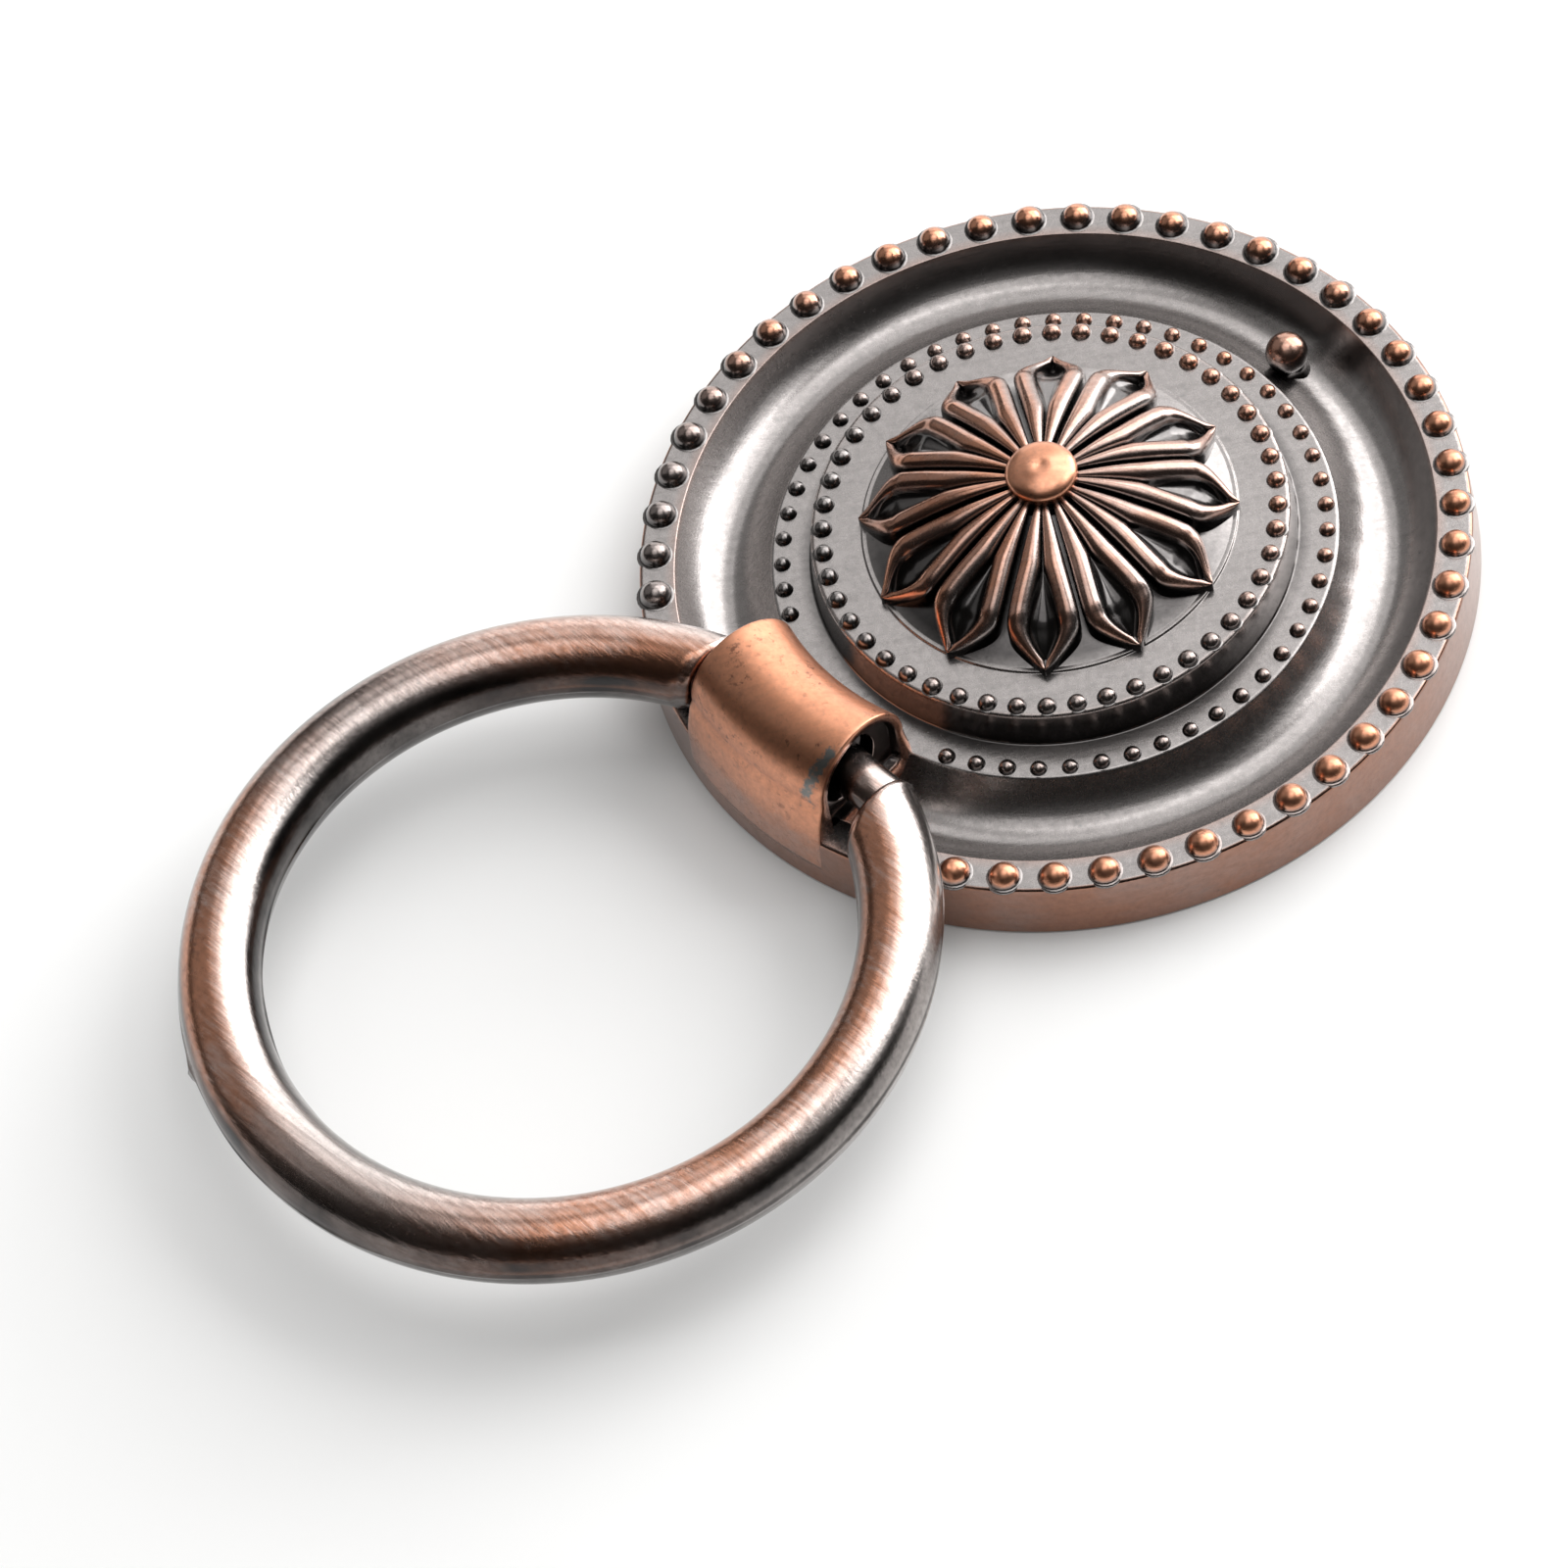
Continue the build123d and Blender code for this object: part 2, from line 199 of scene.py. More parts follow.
class RingSizes(bpy.types.PropertyGroup):
    """Swinging ring with its two pins, with angles counted from the hinge."""

    bar: length("Bar radius", 2.17, "Radius of the ring's round bar")
    reach: length("Ring reach", 16.7, "Ring's middle from the hinge axis")
    shift: length("Side shift", (RING_LOW.x + RING_HIGH.x) / 2, "Ring's middle beside the knuckle's")
    droop: angle("Droop", 0.9, "How far the ring hangs down at rest")
    shoulder: length("Shoulder", 6.08, "End of the bar from the ring's middle plane")
    shoulder_round: length("Shoulder rounding", 0.55, "Rounding of the bar's ends")
    pin: length("Pin radius", 1.25, "Radius of the hinge pins")
    pin_length: length("Pin length", 5.2, "Shoulder to the pin's end")
    pin_chamfer: length("Pin chamfer", 0.3, "Bevel of the pin's end")
    neck_groove: length("Neck groove", 0.1, "Small groove where a pin leaves its shoulder")
    seam: length("Parting seam", 0.08, "Height of the mould seam round the ring")
    gate: length("Gate stub", 0.35, "Height of the stub left where the metal ran into the mould")
    gate_place: angle("Gate place", 155, "Place of the stub on the ring's outer side")
    rubbed_from: angle("Rubbed side", 148, "Side of the ring from which it is rubbed bright")
    # Flanks facing these two sides are painted less dark than the others, as lit sides
    lit_from: angle("Polished side", 346, "Side on which the outer flank stayed brighter")
    far_lit_from: angle("Far side", 33, "Side that brighter flanks face, the inner flank too")
    # Two stretches of the ring are darker and less rubbed to copper
    darker_first: angle("First dull stretch", 84, "Middle of a stretch of the ring that stayed dark")
    darker_second: angle("Second dull stretch", 192, "Middle of another stretch that stayed dark")


class FinishColours(bpy.types.PropertyGroup):
    """Antique copper finish."""

    bare: colour("Bare copper", (0.79, 0.35, 0.2), "Bright copper of the worn bare casting")
    copper: colour("Rubbed copper", (0.65, 0.3, 0.185), "Copper where the dark finish is rubbed off")
    patina: colour("Dark finish", (0.37, 0.343, 0.333), "Dark finish of the smooth faces")
    brushed: colour("Brushed finish", (0.74, 0.665, 0.63), "Dark finish where the ring is brushed thin")
    # This black also paints shade in corners, on lower flanks and on sides turned from the lamps
    soot_and_shade: colour("Recess finish", (0.026, 0.024, 0.024), "Darkest finish in the recesses")
    pit: colour("Pits", (0.17, 0.066, 0.046), "Dark red pits in the bare copper")
    scrape: colour("Scrape", (0.2, 0.247, 0.25), "Bare mark scraped into the knuckle")
    copper_roughness: share("Copper roughness", 0.24, "Roughness of the rubbed copper")
    patina_roughness: share("Dark finish roughness", 0.26, "Roughness of the dark finish")
    lacquer: share("Lacquer", 0.45, "Thin clear lacquer over the whole finish")
    lacquer_roughness: share("Lacquer roughness", 0.18, "Roughness of the clear lacquer")
    matt: share("Matt copper", 0.17, "Roughness added where the bare casting is worn matt")


class StageSettings(bpy.types.PropertyGroup):
    """Floor, light and camera."""

    floor_colour: colour("Floor", (0.92, 0.918, 0.91), "Pale table under the pull")
    tent_colour: colour("Tent", (0.026, 0.025, 0.024), "Dark cloth that the metal mirrors between the lamps")
    lens: FloatProperty(
        name="Lens", description="Focal length on a 36 mm sensor", default=213.36, unit="CAMERA"
    )
    eye: vector("Camera", (-0.22747, 0.15559, 0.38502), "Place of the camera", "TRANSLATION")
    look: vector("Look", (0.48803, -0.29345, -0.82202), "Direction of the camera's view")
    upright: vector("Upright", (0.56742, -0.60896, 0.55426), "Camera's upward direction")


GROUPS = {
    "ring_pull_plate": PlateSizes,
    "ring_pull_beads": BeadSizes,
    "ring_pull_rosette": RosetteSizes,
    "ring_pull_knuckle": KnuckleSizes,
    "ring_pull_ring": RingSizes,
    "ring_pull_finish": FinishColours,
    "ring_pull_stage": StageSettings,
}


def sizes(name):
    """A property group's values, with its lengths in millimetres."""
    group = getattr(bpy.context.scene, name)
    values = {}
    for prop in group.bl_rna.properties:
        if prop.identifier not in ("rna_type", "name"):
            is_length = prop.type == "FLOAT" and prop.unit == "LENGTH" and not prop.is_array
            value = getattr(group, prop.identifier)
            values[prop.identifier] = value / MM if is_length else value
    return SimpleNamespace(**values)


# Surfaces: points, faces and two values of each point: its rub to copper, and its blackening by soot and by
# painted shade
# In them, s holds the piece's own sizes and p the plate's
def smooth(low, high, x):
    """0 below low, 1 above high, and the cubic 3t^2 - 2t^3 between them."""
    t = np.clip((x - low) / (high - low), 0.0, 1.0)
    return t * t * (3 - 2 * t)


def grid_faces(rows, columns, closed_rows=False, closed_columns=False):
    """Four-sided faces of a grid whose points are numbered row by row."""
    row = np.arange(rows if closed_rows else rows - 1)[:, None]
    column = np.arange(columns if closed_columns else columns - 1)[None, :]
    next_row = (row + 1) % rows
    next_column = (column + 1) % columns
    corners = (
        row * columns + column,
        row * columns + next_column,
        next_row * columns + next_column,
        next_row * columns + column,
    )
    return np.stack(corners, axis=-1).reshape(-1, 4)


def fan_faces(ring_first, columns, tip):
    """Three-sided faces from a closed row of points to one tip point."""
    here = np.arange(columns)
    return np.stack([ring_first + here, ring_first + (here + 1) % columns, np.full(columns, tip)], axis=-1)


def tube(loops, rub, soot_and_shade, tips=None):
    """A skin over closed loops of points, shaped (loops, points, 3).

    With two tip points both ends are closed to them, and without them the last loop joins the first.
    """
    rows, columns = loops.shape[:2]
    points = loops.reshape(-1, 3)
    faces = [grid_faces(rows, columns, closed_rows=tips is None, closed_columns=True)]
    rub, soot_and_shade = (np.broadcast_to(v, (rows, columns)).reshape(-1) for v in (rub, soot_and_shade))
    if tips is not None:
        last = (rows - 1) * columns
        faces.append(fan_faces(0, columns, len(points))[:, ::-1])
        faces.append(fan_faces(last, columns, len(points) + 1))
        points = np.vstack([points, tips])
        rub = np.append(rub, [rub[0], rub[-1]])
        soot_and_shade = np.append(soot_and_shade, [soot_and_shade[0], soot_and_shade[-1]])
    return SimpleNamespace(points=points, faces=faces, rub=rub, soot_and_shade=soot_and_shade)


def round_axis(radius, turn, height):
    """Points at a radius and an angle round Z that counts from +Y: x = r sin a, y = r cos a."""
    return np.stack(np.broadcast_arrays(radius * np.sin(turn), radius * np.cos(turn), height), axis=-1)


def turned(profile, segments, rub, soot_and_shade):
    """A profile of (radius, height) turned round Z, with its two ends on the axis."""
    turn = np.linspace(0, 2 * math.pi, segments, endpoint=False)
    loops = round_axis(profile[1:-1, :1], turn, profile[1:-1, 1:])
    tips = np.array([[0, 0, profile[0, 1]], [0, 0, profile[-1, 1]]])
    return tube(loops, rub[1:-1, None], soot_and_shade[1:-1, None], tips)


def stacked(rows):
    """Rows of (loop, rub, soot) as one array of loops and two columns of finish values."""
    loops, rub, soot_and_shade = zip(*rows)
    return np.stack(loops), np.array(rub)[:, None], np.array(soot_and_shade)[:, None]


def copies(surface, turns, scales, shifts):
    """The same surface several times: scaled, turned round Z and shifted, one list entry for each copy."""
    cosine, sine, zero = np.cos(turns), np.sin(turns), np.zeros(len(turns))
    rows = [[cosine, sine, zero], [-sine, cosine, zero], [zero, zero, zero + 1]]
    matrix = np.moveaxis(np.array(rows), -1, 0) * scales[:, None, None]
    points = np.einsum("kij,nj->kni", matrix, surface.points) + shifts[:, None, :]
    step = len(surface.points) * np.arange(len(turns))
    faces = [(f[None] + step[:, None, None]).reshape(-1, f.shape[1]) for f in surface.faces]
    rub, soot_and_shade = (np.tile(v, len(turns)) for v in (surface.rub, surface.soot_and_shade))
    return SimpleNamespace(points=points.reshape(-1, 3), faces=faces, rub=rub, soot_and_shade=soot_and_shade)


def outward(points, faces):
    """The faces, turned over if together they enclose a negative volume."""
    volume = 0.0
    for face in faces:
        for k in range(1, face.shape[1] - 1):
            a, b, c = (points[face[:, i]] for i in (0, k, k + 1))
            volume += np.einsum("ij,ij->", a, np.cross(b, c))
    return faces if volume > 0 else [face[:, ::-1] for face in faces]


def put_in_scene(name, data):
    """A new object of the scene that holds a mesh, a lamp or a camera."""
    item = bpy.data.objects.new(name, data)
    bpy.context.scene.collection.objects.link(item)
    return item


def cast_piece(name, surface, body, node, material, extra=None):
    """A surface in millimetres as a mesh object that rides on a body and stands for a node of the model."""
    faces = outward(surface.points, surface.faces)
    loops = np.concatenate([face.reshape(-1) for face in faces])
    sides = np.concatenate([np.full(len(face), face.shape[1]) for face in faces])
    mesh = bpy.data.meshes.new(name)
    mesh.vertices.add(len(surface.points))
    mesh.vertices.foreach_set("co", (surface.points * MM).astype(np.float32).reshape(-1))
    mesh.loops.add(len(loops))
    mesh.loops.foreach_set("vertex_index", loops.astype(np.int32))
    mesh.polygons.add(len(sides))
    mesh.polygons.foreach_set("loop_start", (np.cumsum(sides) - sides).astype(np.int32))
    mesh.polygons.foreach_set("use_smooth", np.ones(len(sides), bool))
    for key, values in {"rub": surface.rub, "soot_and_shade": surface.soot_and_shade, **(extra or {})}.items():
        attribute = mesh.attributes.new(key, "FLOAT", "POINT")
        attribute.data.foreach_set("value", values.astype(np.float32))
    mesh.update(calc_edges=True)
    if mesh.validate():
        raise RuntimeError(f"{name} has broken faces")
    mesh.materials.append(material)
    piece = put_in_scene(name, mesh)
    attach(piece, body)
    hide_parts(node)


def on_plate(name, surface, extra=None):
    """A piece of the backplate casting."""
    cast_piece(name, surface, "plate", "backplate", plate_finish(), extra)


# Profiles
def rounded_line(corners, radii, step=math.radians(9), near=0.05, longest=0.5):
    """Straight runs between corners, with an arc of the given radius that touches both runs at a corner.

    The runs are divided so that no part is longer than the longest, with a point near each end.
    """
    corners = np.asarray(corners, float)
    ahead = np.diff(corners, axis=0)
    ahead /= np.linalg.norm(ahead, axis=1)[:, None]
    pieces = [corners[:1]]
    for corner, radius, into, out in zip(corners[1:-1], radii, ahead[:-1], ahead[1:]):
        if not radius:
            pieces.append(corner[None])
            continue
        cross = into[0] * out[1] - into[1] * out[0]
        turn = math.atan2(cross, into @ out)
        reach = radius * math.tan(abs(turn) / 2)
        centre = corner - into * reach + math.copysign(radius, turn) * np.array([-into[1], into[0]])
        arm = corner - into * reach - centre
        part = np.linspace(0, turn, max(3, math.ceil(abs(turn) / step)) + 1)
        cosine, sine = np.cos(part), np.sin(part)
        arc = np.stack([arm[0] * cosine - arm[1] * sine, arm[0] * sine + arm[1] * cosine], axis=1)
        pieces.append(centre + arc)
    pieces.append(corners[-1:])
    line = [pieces[0]]
    for before, after in zip(pieces[:-1], pieces[1:]):
        run = np.linalg.norm(after[0] - before[-1])
        if run > 3 * near:
            inner = np.linspace(near / run, 1 - near / run, max(2, math.ceil(run / longest)))
            line.append(before[-1] + inner[:, None] * (after[0] - before[-1]))
        line.append(after)
    return np.vstack(line)


# Backplate pieces
PLATE_SEGMENTS = 240
BEAD_UNEVENNESS = 0.04

# How strongly places of the backplate are rubbed to copper or blackened, the blackening mostly painted shade
PLATE_RUB = SimpleNamespace(wall=1.0, rim_edge=0.25, boss_edge=0.12)
PLATE_SOOT_AND_SHADE = SimpleNamespace(wall=0.48, foot=0.75, cone=0.9, riser=0.72, disc=0.85, far_wall=0.5)
BEAD_RUB = SimpleNamespace(top=1.35, handled=0.35, unpolished=0.45, shaded_side=0.1)
BEAD_SOOT_AND_SHADE = SimpleNamespace(flank=0.85, polished=0.3, handled=0.4, unpolished=0.25, shaded_side=0.25)
PETAL_RUB = SimpleNamespace(even=0.95, near=0.3)
PETAL_SOOT_AND_SHADE = SimpleNamespace(even=0.78, beside=0.18, turned_away=0.42)
BUTTON_RUB = 1.6
PEG_RUB = 0.95
# How much less bare the knuckle's low side is, which paints it darker as shade
KNUCKLE_LOW_SIDE_SHADE = 0.9


def plate_radii(p):
    """Radii of the plate's steps, from the rim inwards."""
    rim_outer = p.radius - p.wall_draft
    rim_inner = rim_outer - p.rim_width
    platform = rim_inner - p.channel_width
    boss_foot = platform - p.platform_width
    boss = boss_foot - p.boss_draft
    return SimpleNamespace(
        rim_outer=rim_outer, rim_inner=rim_inner, platform=platform, boss_foot=boss_foot, boss=boss
    )


def channel_scoop(p, at):
    """The channel's section: height = floor + (brim - floor) |u|^curve, with u falling from the rim in."""
    u = np.linspace(0.97, -0.97, 37)
    brim = np.where(u > 0, p.rim_height, p.platform_height)
    radius = (at.rim_inner + at.platform + p.channel_width * u) / 2
    height = p.channel_floor + (brim - p.channel_floor) * np.abs(u) ** p.channel_curve
    return np.stack([radius, height], axis=1)


def plate_section(p, rosette, at):
    """The casting's section as a rounded line: from the screw hole's end round the back, the outer wall,
    the rim, the channel and the steps to the cone under the rosette."""
    soft, inner = p.edge, p.corner
    hole = p.screw_major + inner
    core_step = at.boss - p.core_wall
    boss_core = p.boss_height - p.core_wall
    platform_core = p.platform_height - p.core_wall
    cone_top = rosette.centre_height - rosette.hollow
    back = (
        (0, p.screw_depth),
        (hole, p.screw_depth),
        (hole, 0),
        (p.post_radius, 0),
        (p.post_radius, boss_core),
        (core_step, boss_core),
        (core_step, platform_core),
        (p.core_radius, platform_core),
        (p.core_radius, 0),
        (p.radius, 0),
        (at.rim_outer, p.rim_height),
        (at.rim_inner, p.rim_height),
    )
    scoop = channel_scoop(p, at)
    front = (
        (at.platform, p.platform_height),
        (at.boss_foot, p.platform_height),
        (at.boss, p.boss_height),
        (rosette.disc_radius, p.boss_height),
        (rosette.disc_radius, rosette.disc_height),
        (rosette.disc_radius - 2 * inner, rosette.disc_height),
        (rosette.button_radius, cone_top),
        (0, cone_top),
    )
    radii = [inner] * 9 + [soft, soft / 3] + [0.0] * len(scoop)
    radii += [soft, inner, soft, inner / 2, inner / 2, inner / 2, inner]
    return rounded_line(np.vstack([back, scoop, front]), radii)


def plate_wear(p, rosette, at, r, z):
    """Rub and blackening of the section: copper on the outer wall and the edges, an even darkening of the
    wall, and painted shade in the front's corners.
    """
    outer_wall = smooth(at.rim_outer - 0.9 * p.edge, at.rim_outer - 0.2 * p.edge, r)
    rim_edge = smooth(0.3, 0.0, np.hypot(r - at.rim_inner, z - p.rim_height))
    boss_edge = smooth(0.35, 0.0, np.hypot(r - at.boss, z - p.boss_height))
    rub = PLATE_RUB.wall * outer_wall + PLATE_RUB.rim_edge * rim_edge + PLATE_RUB.boss_edge * boss_edge
    # Painted shade: black in the corner at the boss's foot, in the grooves under the petals and on the boss's
    # riser
    foot = smooth(0.45, 0.0, np.hypot(r - at.boss_foot, z - p.platform_height))
    cone = smooth(rosette.corner_radius + 0.5, rosette.corner_radius - 0.4, r)
    on_riser = (r < at.boss_foot + 0.02) & (r > at.boss - 0.02)
    riser = on_riser * smooth(0.1, 0.4, p.boss_height - z)
    corners = np.maximum.reduce([PLATE_SOOT_AND_SHADE.foot * foot, PLATE_SOOT_AND_SHADE.cone * cone, PLATE_SOOT_AND_SHADE.riser * riser])
    on_front = (z > p.channel_floor - 0.01) & (r < at.rim_outer - p.edge)
    return rub, np.where(on_front, corners, PLATE_SOOT_AND_SHADE.wall * outer_wall)


def plate_shade(p, rosette, at, x, y, z):
    """Painted shade on one side only: on the disc between the petals, and on the channel's far wall."""
    r = np.hypot(x, y)
    shaded_side = x * math.sin(rosette.shaded_from) + y * math.cos(rosette.shaded_from)
    on_disc = smooth(rosette.disc_radius, rosette.disc_radius - 0.5, r) * (z > p.boss_height + 0.05)
    disc = PLATE_SOOT_AND_SHADE.disc * on_disc * smooth(-0.3, 0.5, shaded_side / rosette.disc_radius)
    in_channel = smooth(0.02, 0.1, at.rim_inner + 0.05 - r) * (r > at.rim_inner - 1.4)
    wall = smooth(0.1, 0.7, z - p.channel_floor) * in_channel
    far_wall = PLATE_SOOT_AND_SHADE.far_wall * smooth(0.5, -0.7, y / at.rim_inner) * wall
    return np.maximum(disc, far_wall)


def plate_surface(p, rosette):
    """The casting turned from its section."""
    at = plate_radii(p)
    line = plate_section(p, rosette, at)
    surface = turned(line, PLATE_SEGMENTS, *plate_wear(p, rosette, at, *line.T))
    surface.soot_and_shade = np.maximum(surface.soot_and_shade, plate_shade(p, rosette, at, *surface.points.T))
    return surface


def thread_surface(p):
    """A screw thread as a tube: its inner radius is the crest plus the depth times a wave.

    The wave is a rounded triangle wave of z / pitch - a / 2 pi.
    """
    around, along = 48, 12 * math.ceil(p.screw_depth / p.screw_pitch)
    turn = np.linspace(0, 2 * math.pi, around, endpoint=False)
    z = np.linspace(0.01, p.screw_depth - 0.01, along)[:, None]
    wave = 0.5 + np.arcsin(0.96 * np.sin(2 * math.pi * z / p.screw_pitch - turn)) / math.pi
    inside = round_axis(p.screw_minor + (p.screw_major - p.screw_minor) * wave, turn, z)
    shell = round_axis(p.screw_major + 2 * p.corner, turn, z[[-1, 0]])
    return tube(np.concatenate([inside, shell]), rub=0.1, soot_and_shade=0.2)


def bead_surface(radius):
    """A half ball on a small skirt, turned from a quarter circle that runs out flat."""
    bend = np.linspace(0, math.radians(84), 8)
    ball = np.stack([np.sin(bend), np.cos(bend)], axis=1)
    skirt = np.array([[1.03, 0.07], [1.1, 0.045], [1.22, 0.03], [1.24, -0.12], [0, -0.12]])
    profile = np.vstack([ball, skirt]) * radius
    height = profile[:, 1] / radius
    return turned(profile, 20, np.clip(height, 0, 1), 0 * height)


def bead_row(row, shaded_from, sink):
    """Beads on a circle, at start + 360 degrees / places for each, with small seeded differences of size.

    Their tops are rubbed to copper, further down on the side that is handled more, and hardly on the shaded
    side. Their feet and lower flanks are painted black as shade, and the row's shaded side is painted darker.
    """
    where = row.start + 2 * math.pi / row.places * np.arange(row.beads)
    scales = 1 + BEAD_UNEVENNESS * np.random.default_rng(row.places).uniform(-1, 1, row.beads)
    shifts = round_axis(row.circle, where, row.height - sink)
    beads = copies(bead_surface(row.radius), 0 * where, scales, shifts)
    points_each = len(beads.points) // row.beads
    handled = np.repeat(smooth(-0.2, 1.0, np.cos(where - row.rubbed_from)), points_each)
    unshaded = np.repeat(smooth(0.98, 0.5, np.cos(where - shaded_from)), points_each)
    up = beads.rub
    side = BEAD_RUB.shaded_side + (1 - BEAD_RUB.shaded_side) * unshaded
    bright = (row.polish + BEAD_RUB.unpolished * (1 - row.polish) * handled) * side
    top = smooth(0.3, 0.85, up + BEAD_RUB.handled * handled)
    beads.rub = top * (BEAD_RUB.top + BEAD_RUB.handled * handled) * bright
    # Painted shade: the foot and the lower flank of each ball are blackened, less on the handled side
    on_ball = smooth(0.03, 0.07, up)
    foot = smooth(0.3, 0.1, up) * on_ball * (1 - BEAD_SOOT_AND_SHADE.handled * handled)
    flank = BEAD_SOOT_AND_SHADE.flank - BEAD_SOOT_AND_SHADE.polished * row.polish - BEAD_SOOT_AND_SHADE.handled * handled
    flank = flank * smooth(0.75, 0.3, up + 0.3 * handled) * on_ball
    # Unpolished rows are darker, and the shaded side of the row is painted darker as shade
    dull = BEAD_SOOT_AND_SHADE.unpolished * (1 - row.polish) * (1 - handled) + BEAD_SOOT_AND_SHADE.shaded_side * (1 - unshaded)
    beads.soot_and_shade = np.clip(np.maximum(foot, flank) + dull * (up > 0.1), 0, 1)
    return beads


def petal_half_width(s, reach):
    """Half a petal's width: it follows the sector up to the corner and then runs in to the tip.

    A soft minimum, -ln(e^(-k a) + e^(-k b)) / k, joins the two.
    """
    slope, sharpness = math.tan(math.pi / s.petals), 2.6
    sector = reach * slope - s.groove / 2
    widest = s.corner_radius * slope - s.groove / 2
    left = np.clip((s.tip_radius - reach) / (s.tip_radius - s.corner_radius), 0, None)
    closing = 1.12 * widest * left**0.9 + 0.03
    half = -np.log(np.exp(-sharpness * sector) + np.exp(-sharpness * closing)) / sharpness
    return np.clip(half, 0.03, None)


def petal_crest(s, reach, root):
    """Height of a petal's ribs: a line from centre to corner with a sine crown, then an eased fall."""
    way = np.clip((reach - root) / (s.corner_radius - root), 0, 1)
    crest = s.centre_height + (s.corner_height - s.centre_height) * way + s.crown * np.sin(math.pi * way)
    first, last = s.corner_radius - 0.5, s.tip_radius + 0.3
    fall = smooth(first, last, reach)
    return crest + (s.tip_height - s.corner_height) * fall / smooth(first, last, s.tip_radius)


def petal_surface(s):
    """A petal as loops across it, from its root in the button to its tip.

    Across the petal, both edges have a round rib, and between them the height falls by the hollow's depth
    times 1 - t^2.5. Outside the ribs, walls go straight down into the disc.
    """
    root = s.button_radius - 2 * s.groove
    inner_part = np.linspace(root, s.corner_radius - 0.9, 18)
    outer_part = np.linspace(s.corner_radius - 0.7, s.tip_radius, 22)
    reach = np.concatenate([inner_part, outer_part])[:, None]
    half = petal_half_width(s, reach)
    taper = 1 - 0.5 * smooth(s.corner_radius - 0.6, s.tip_radius, reach)
    rib = np.minimum(s.rib * taper, 0.96 * half)
    floor = petal_crest(s, reach, root) - rib / 2
    across = np.linspace(0, 1, 9)
    depth = np.minimum(s.hollow, half) - rib / 2
    hollow_x = (half - rib) * across
    hollow_z = floor - np.clip(depth, 0, None) * (1 - across**2.5)
    over = np.linspace(0, math.pi, 9)[1:]
    rib_x = half - rib / 2 - rib / 2 * np.cos(over)
    rib_z = floor + rib / 2 * np.sin(over)
    base = s.disc_height - 0.3
    drop = np.array([0.35, 0.75, 1.0])
    wall_x = half + 0 * drop
    wall_z = floor + (base - floor) * drop
    side_x = np.hstack([hollow_x, rib_x, wall_x])
    side_z = np.hstack([hollow_z, rib_z, wall_z])
    x = np.hstack([side_x, -side_x[:, :0:-1]])
    z = np.hstack([side_z, side_z[:, :0:-1]])
    loops = np.stack([x, reach + 0 * x, z], axis=-1)
    top = np.clip((z - floor) / (rib / 2), 0, 1)
    # The hollows are darkened, less near the button, and the walls between the petals are painted black as
    # shade
    open_hollow = 0.55 + 0.4 * smooth(root + 1.0, s.corner_radius, reach)
    soot_and_shade = smooth(0.5, 0.0, top) * np.where(np.abs(x) >= half - 1e-6, 1.0, open_hollow)
    tips = np.stack([loops[0].mean(axis=0), loops[-1].mean(axis=0)])
    petal = tube(loops, smooth(0.1, 0.85, top), soot_and_shade, tips)
    lean = np.concatenate([-across, -np.cos(over), 1 + 0 * drop])
    petal.lean = np.append(np.tile(np.append(lean, -lean[:0:-1]), len(reach)), [0, 0])
    return petal


def petal_ring(s):
    """The petal copied round the button, each with a small seeded difference of size and turn.

    A face is rubbed more on the rubbed side of the rosette and where it leans that way. Painted shade makes
    it darkest where it leans a quarter turn from it, and the hollows darker on one side of the rosette.
    """
    dice = np.random.default_rng(s.petals)
    turns = s.start + 2 * math.pi / s.petals * np.arange(s.petals) + dice.uniform(-0.008, 0.008, s.petals)
    scales = 1 + dice.uniform(-0.006, 0.004, s.petals)
    petal = petal_surface(s)
    ring = copies(petal, turns, scales, np.zeros((s.petals, 3)))
    lean = np.tile(petal.lean, s.petals)
    near = np.repeat(np.cos(turns - s.rubbed_from), len(petal.points))
    beside = np.repeat(np.sin(turns - s.rubbed_from), len(petal.points))
    ring.rub = ring.rub * (PETAL_RUB.even + PETAL_RUB.near * near) * smooth(-0.9, 0.3, -lean * beside)
    # Painted shade: hollows darker on one side, and faces leaning a quarter turn from the rubbed side darkest
    recess = ring.soot_and_shade * (PETAL_SOOT_AND_SHADE.even - PETAL_SOOT_AND_SHADE.beside * beside)
    ring.soot_and_shade = np.clip(recess + PETAL_SOOT_AND_SHADE.turned_away * smooth(0.2, 0.9, -lean * near), 0, 1)
    return ring


def button_surface(s):
    """A low dome: height = edge + dome (1 - (r / R)^2)^0.375 - dimple exp(-(r / w)^2), faintly rippled."""
    dimple_width = 0.33
    dome = PLATE_HIGH.z - s.button_edge + s.button_dimple * 0.2
    top = np.linspace(0, 0.92, 22)
    side = np.sin(np.linspace(math.asin(0.94), math.pi / 2, 8))
    r = np.concatenate([top, side]) * s.button_radius
    z = s.button_edge + dome * np.sqrt(np.clip(1 - (r / s.button_radius) ** 2, 0, 1)) ** 0.75
    z = z - s.button_dimple * np.exp(-((r / dimple_width) ** 2)) + 0.02 * np.sin(3.1 * r) ** 2
    low = s.button_edge - 1.2
    foot = np.array([[s.button_radius, s.button_edge - 0.5], [s.button_radius - 0.25, low], [0, low]])
    profile = np.vstack([np.stack([r, z], axis=1), foot])
    rub = smooth(s.button_edge - 0.35, s.button_edge + 0.25, profile[:, 1])
    # Painted shade: black under the button's edge
    soot_and_shade = smooth(s.button_edge + 0.05, s.button_edge - 0.4, profile[:, 1])
    return turned(profile, 48, BUTTON_RUB * rub, soot_and_shade)


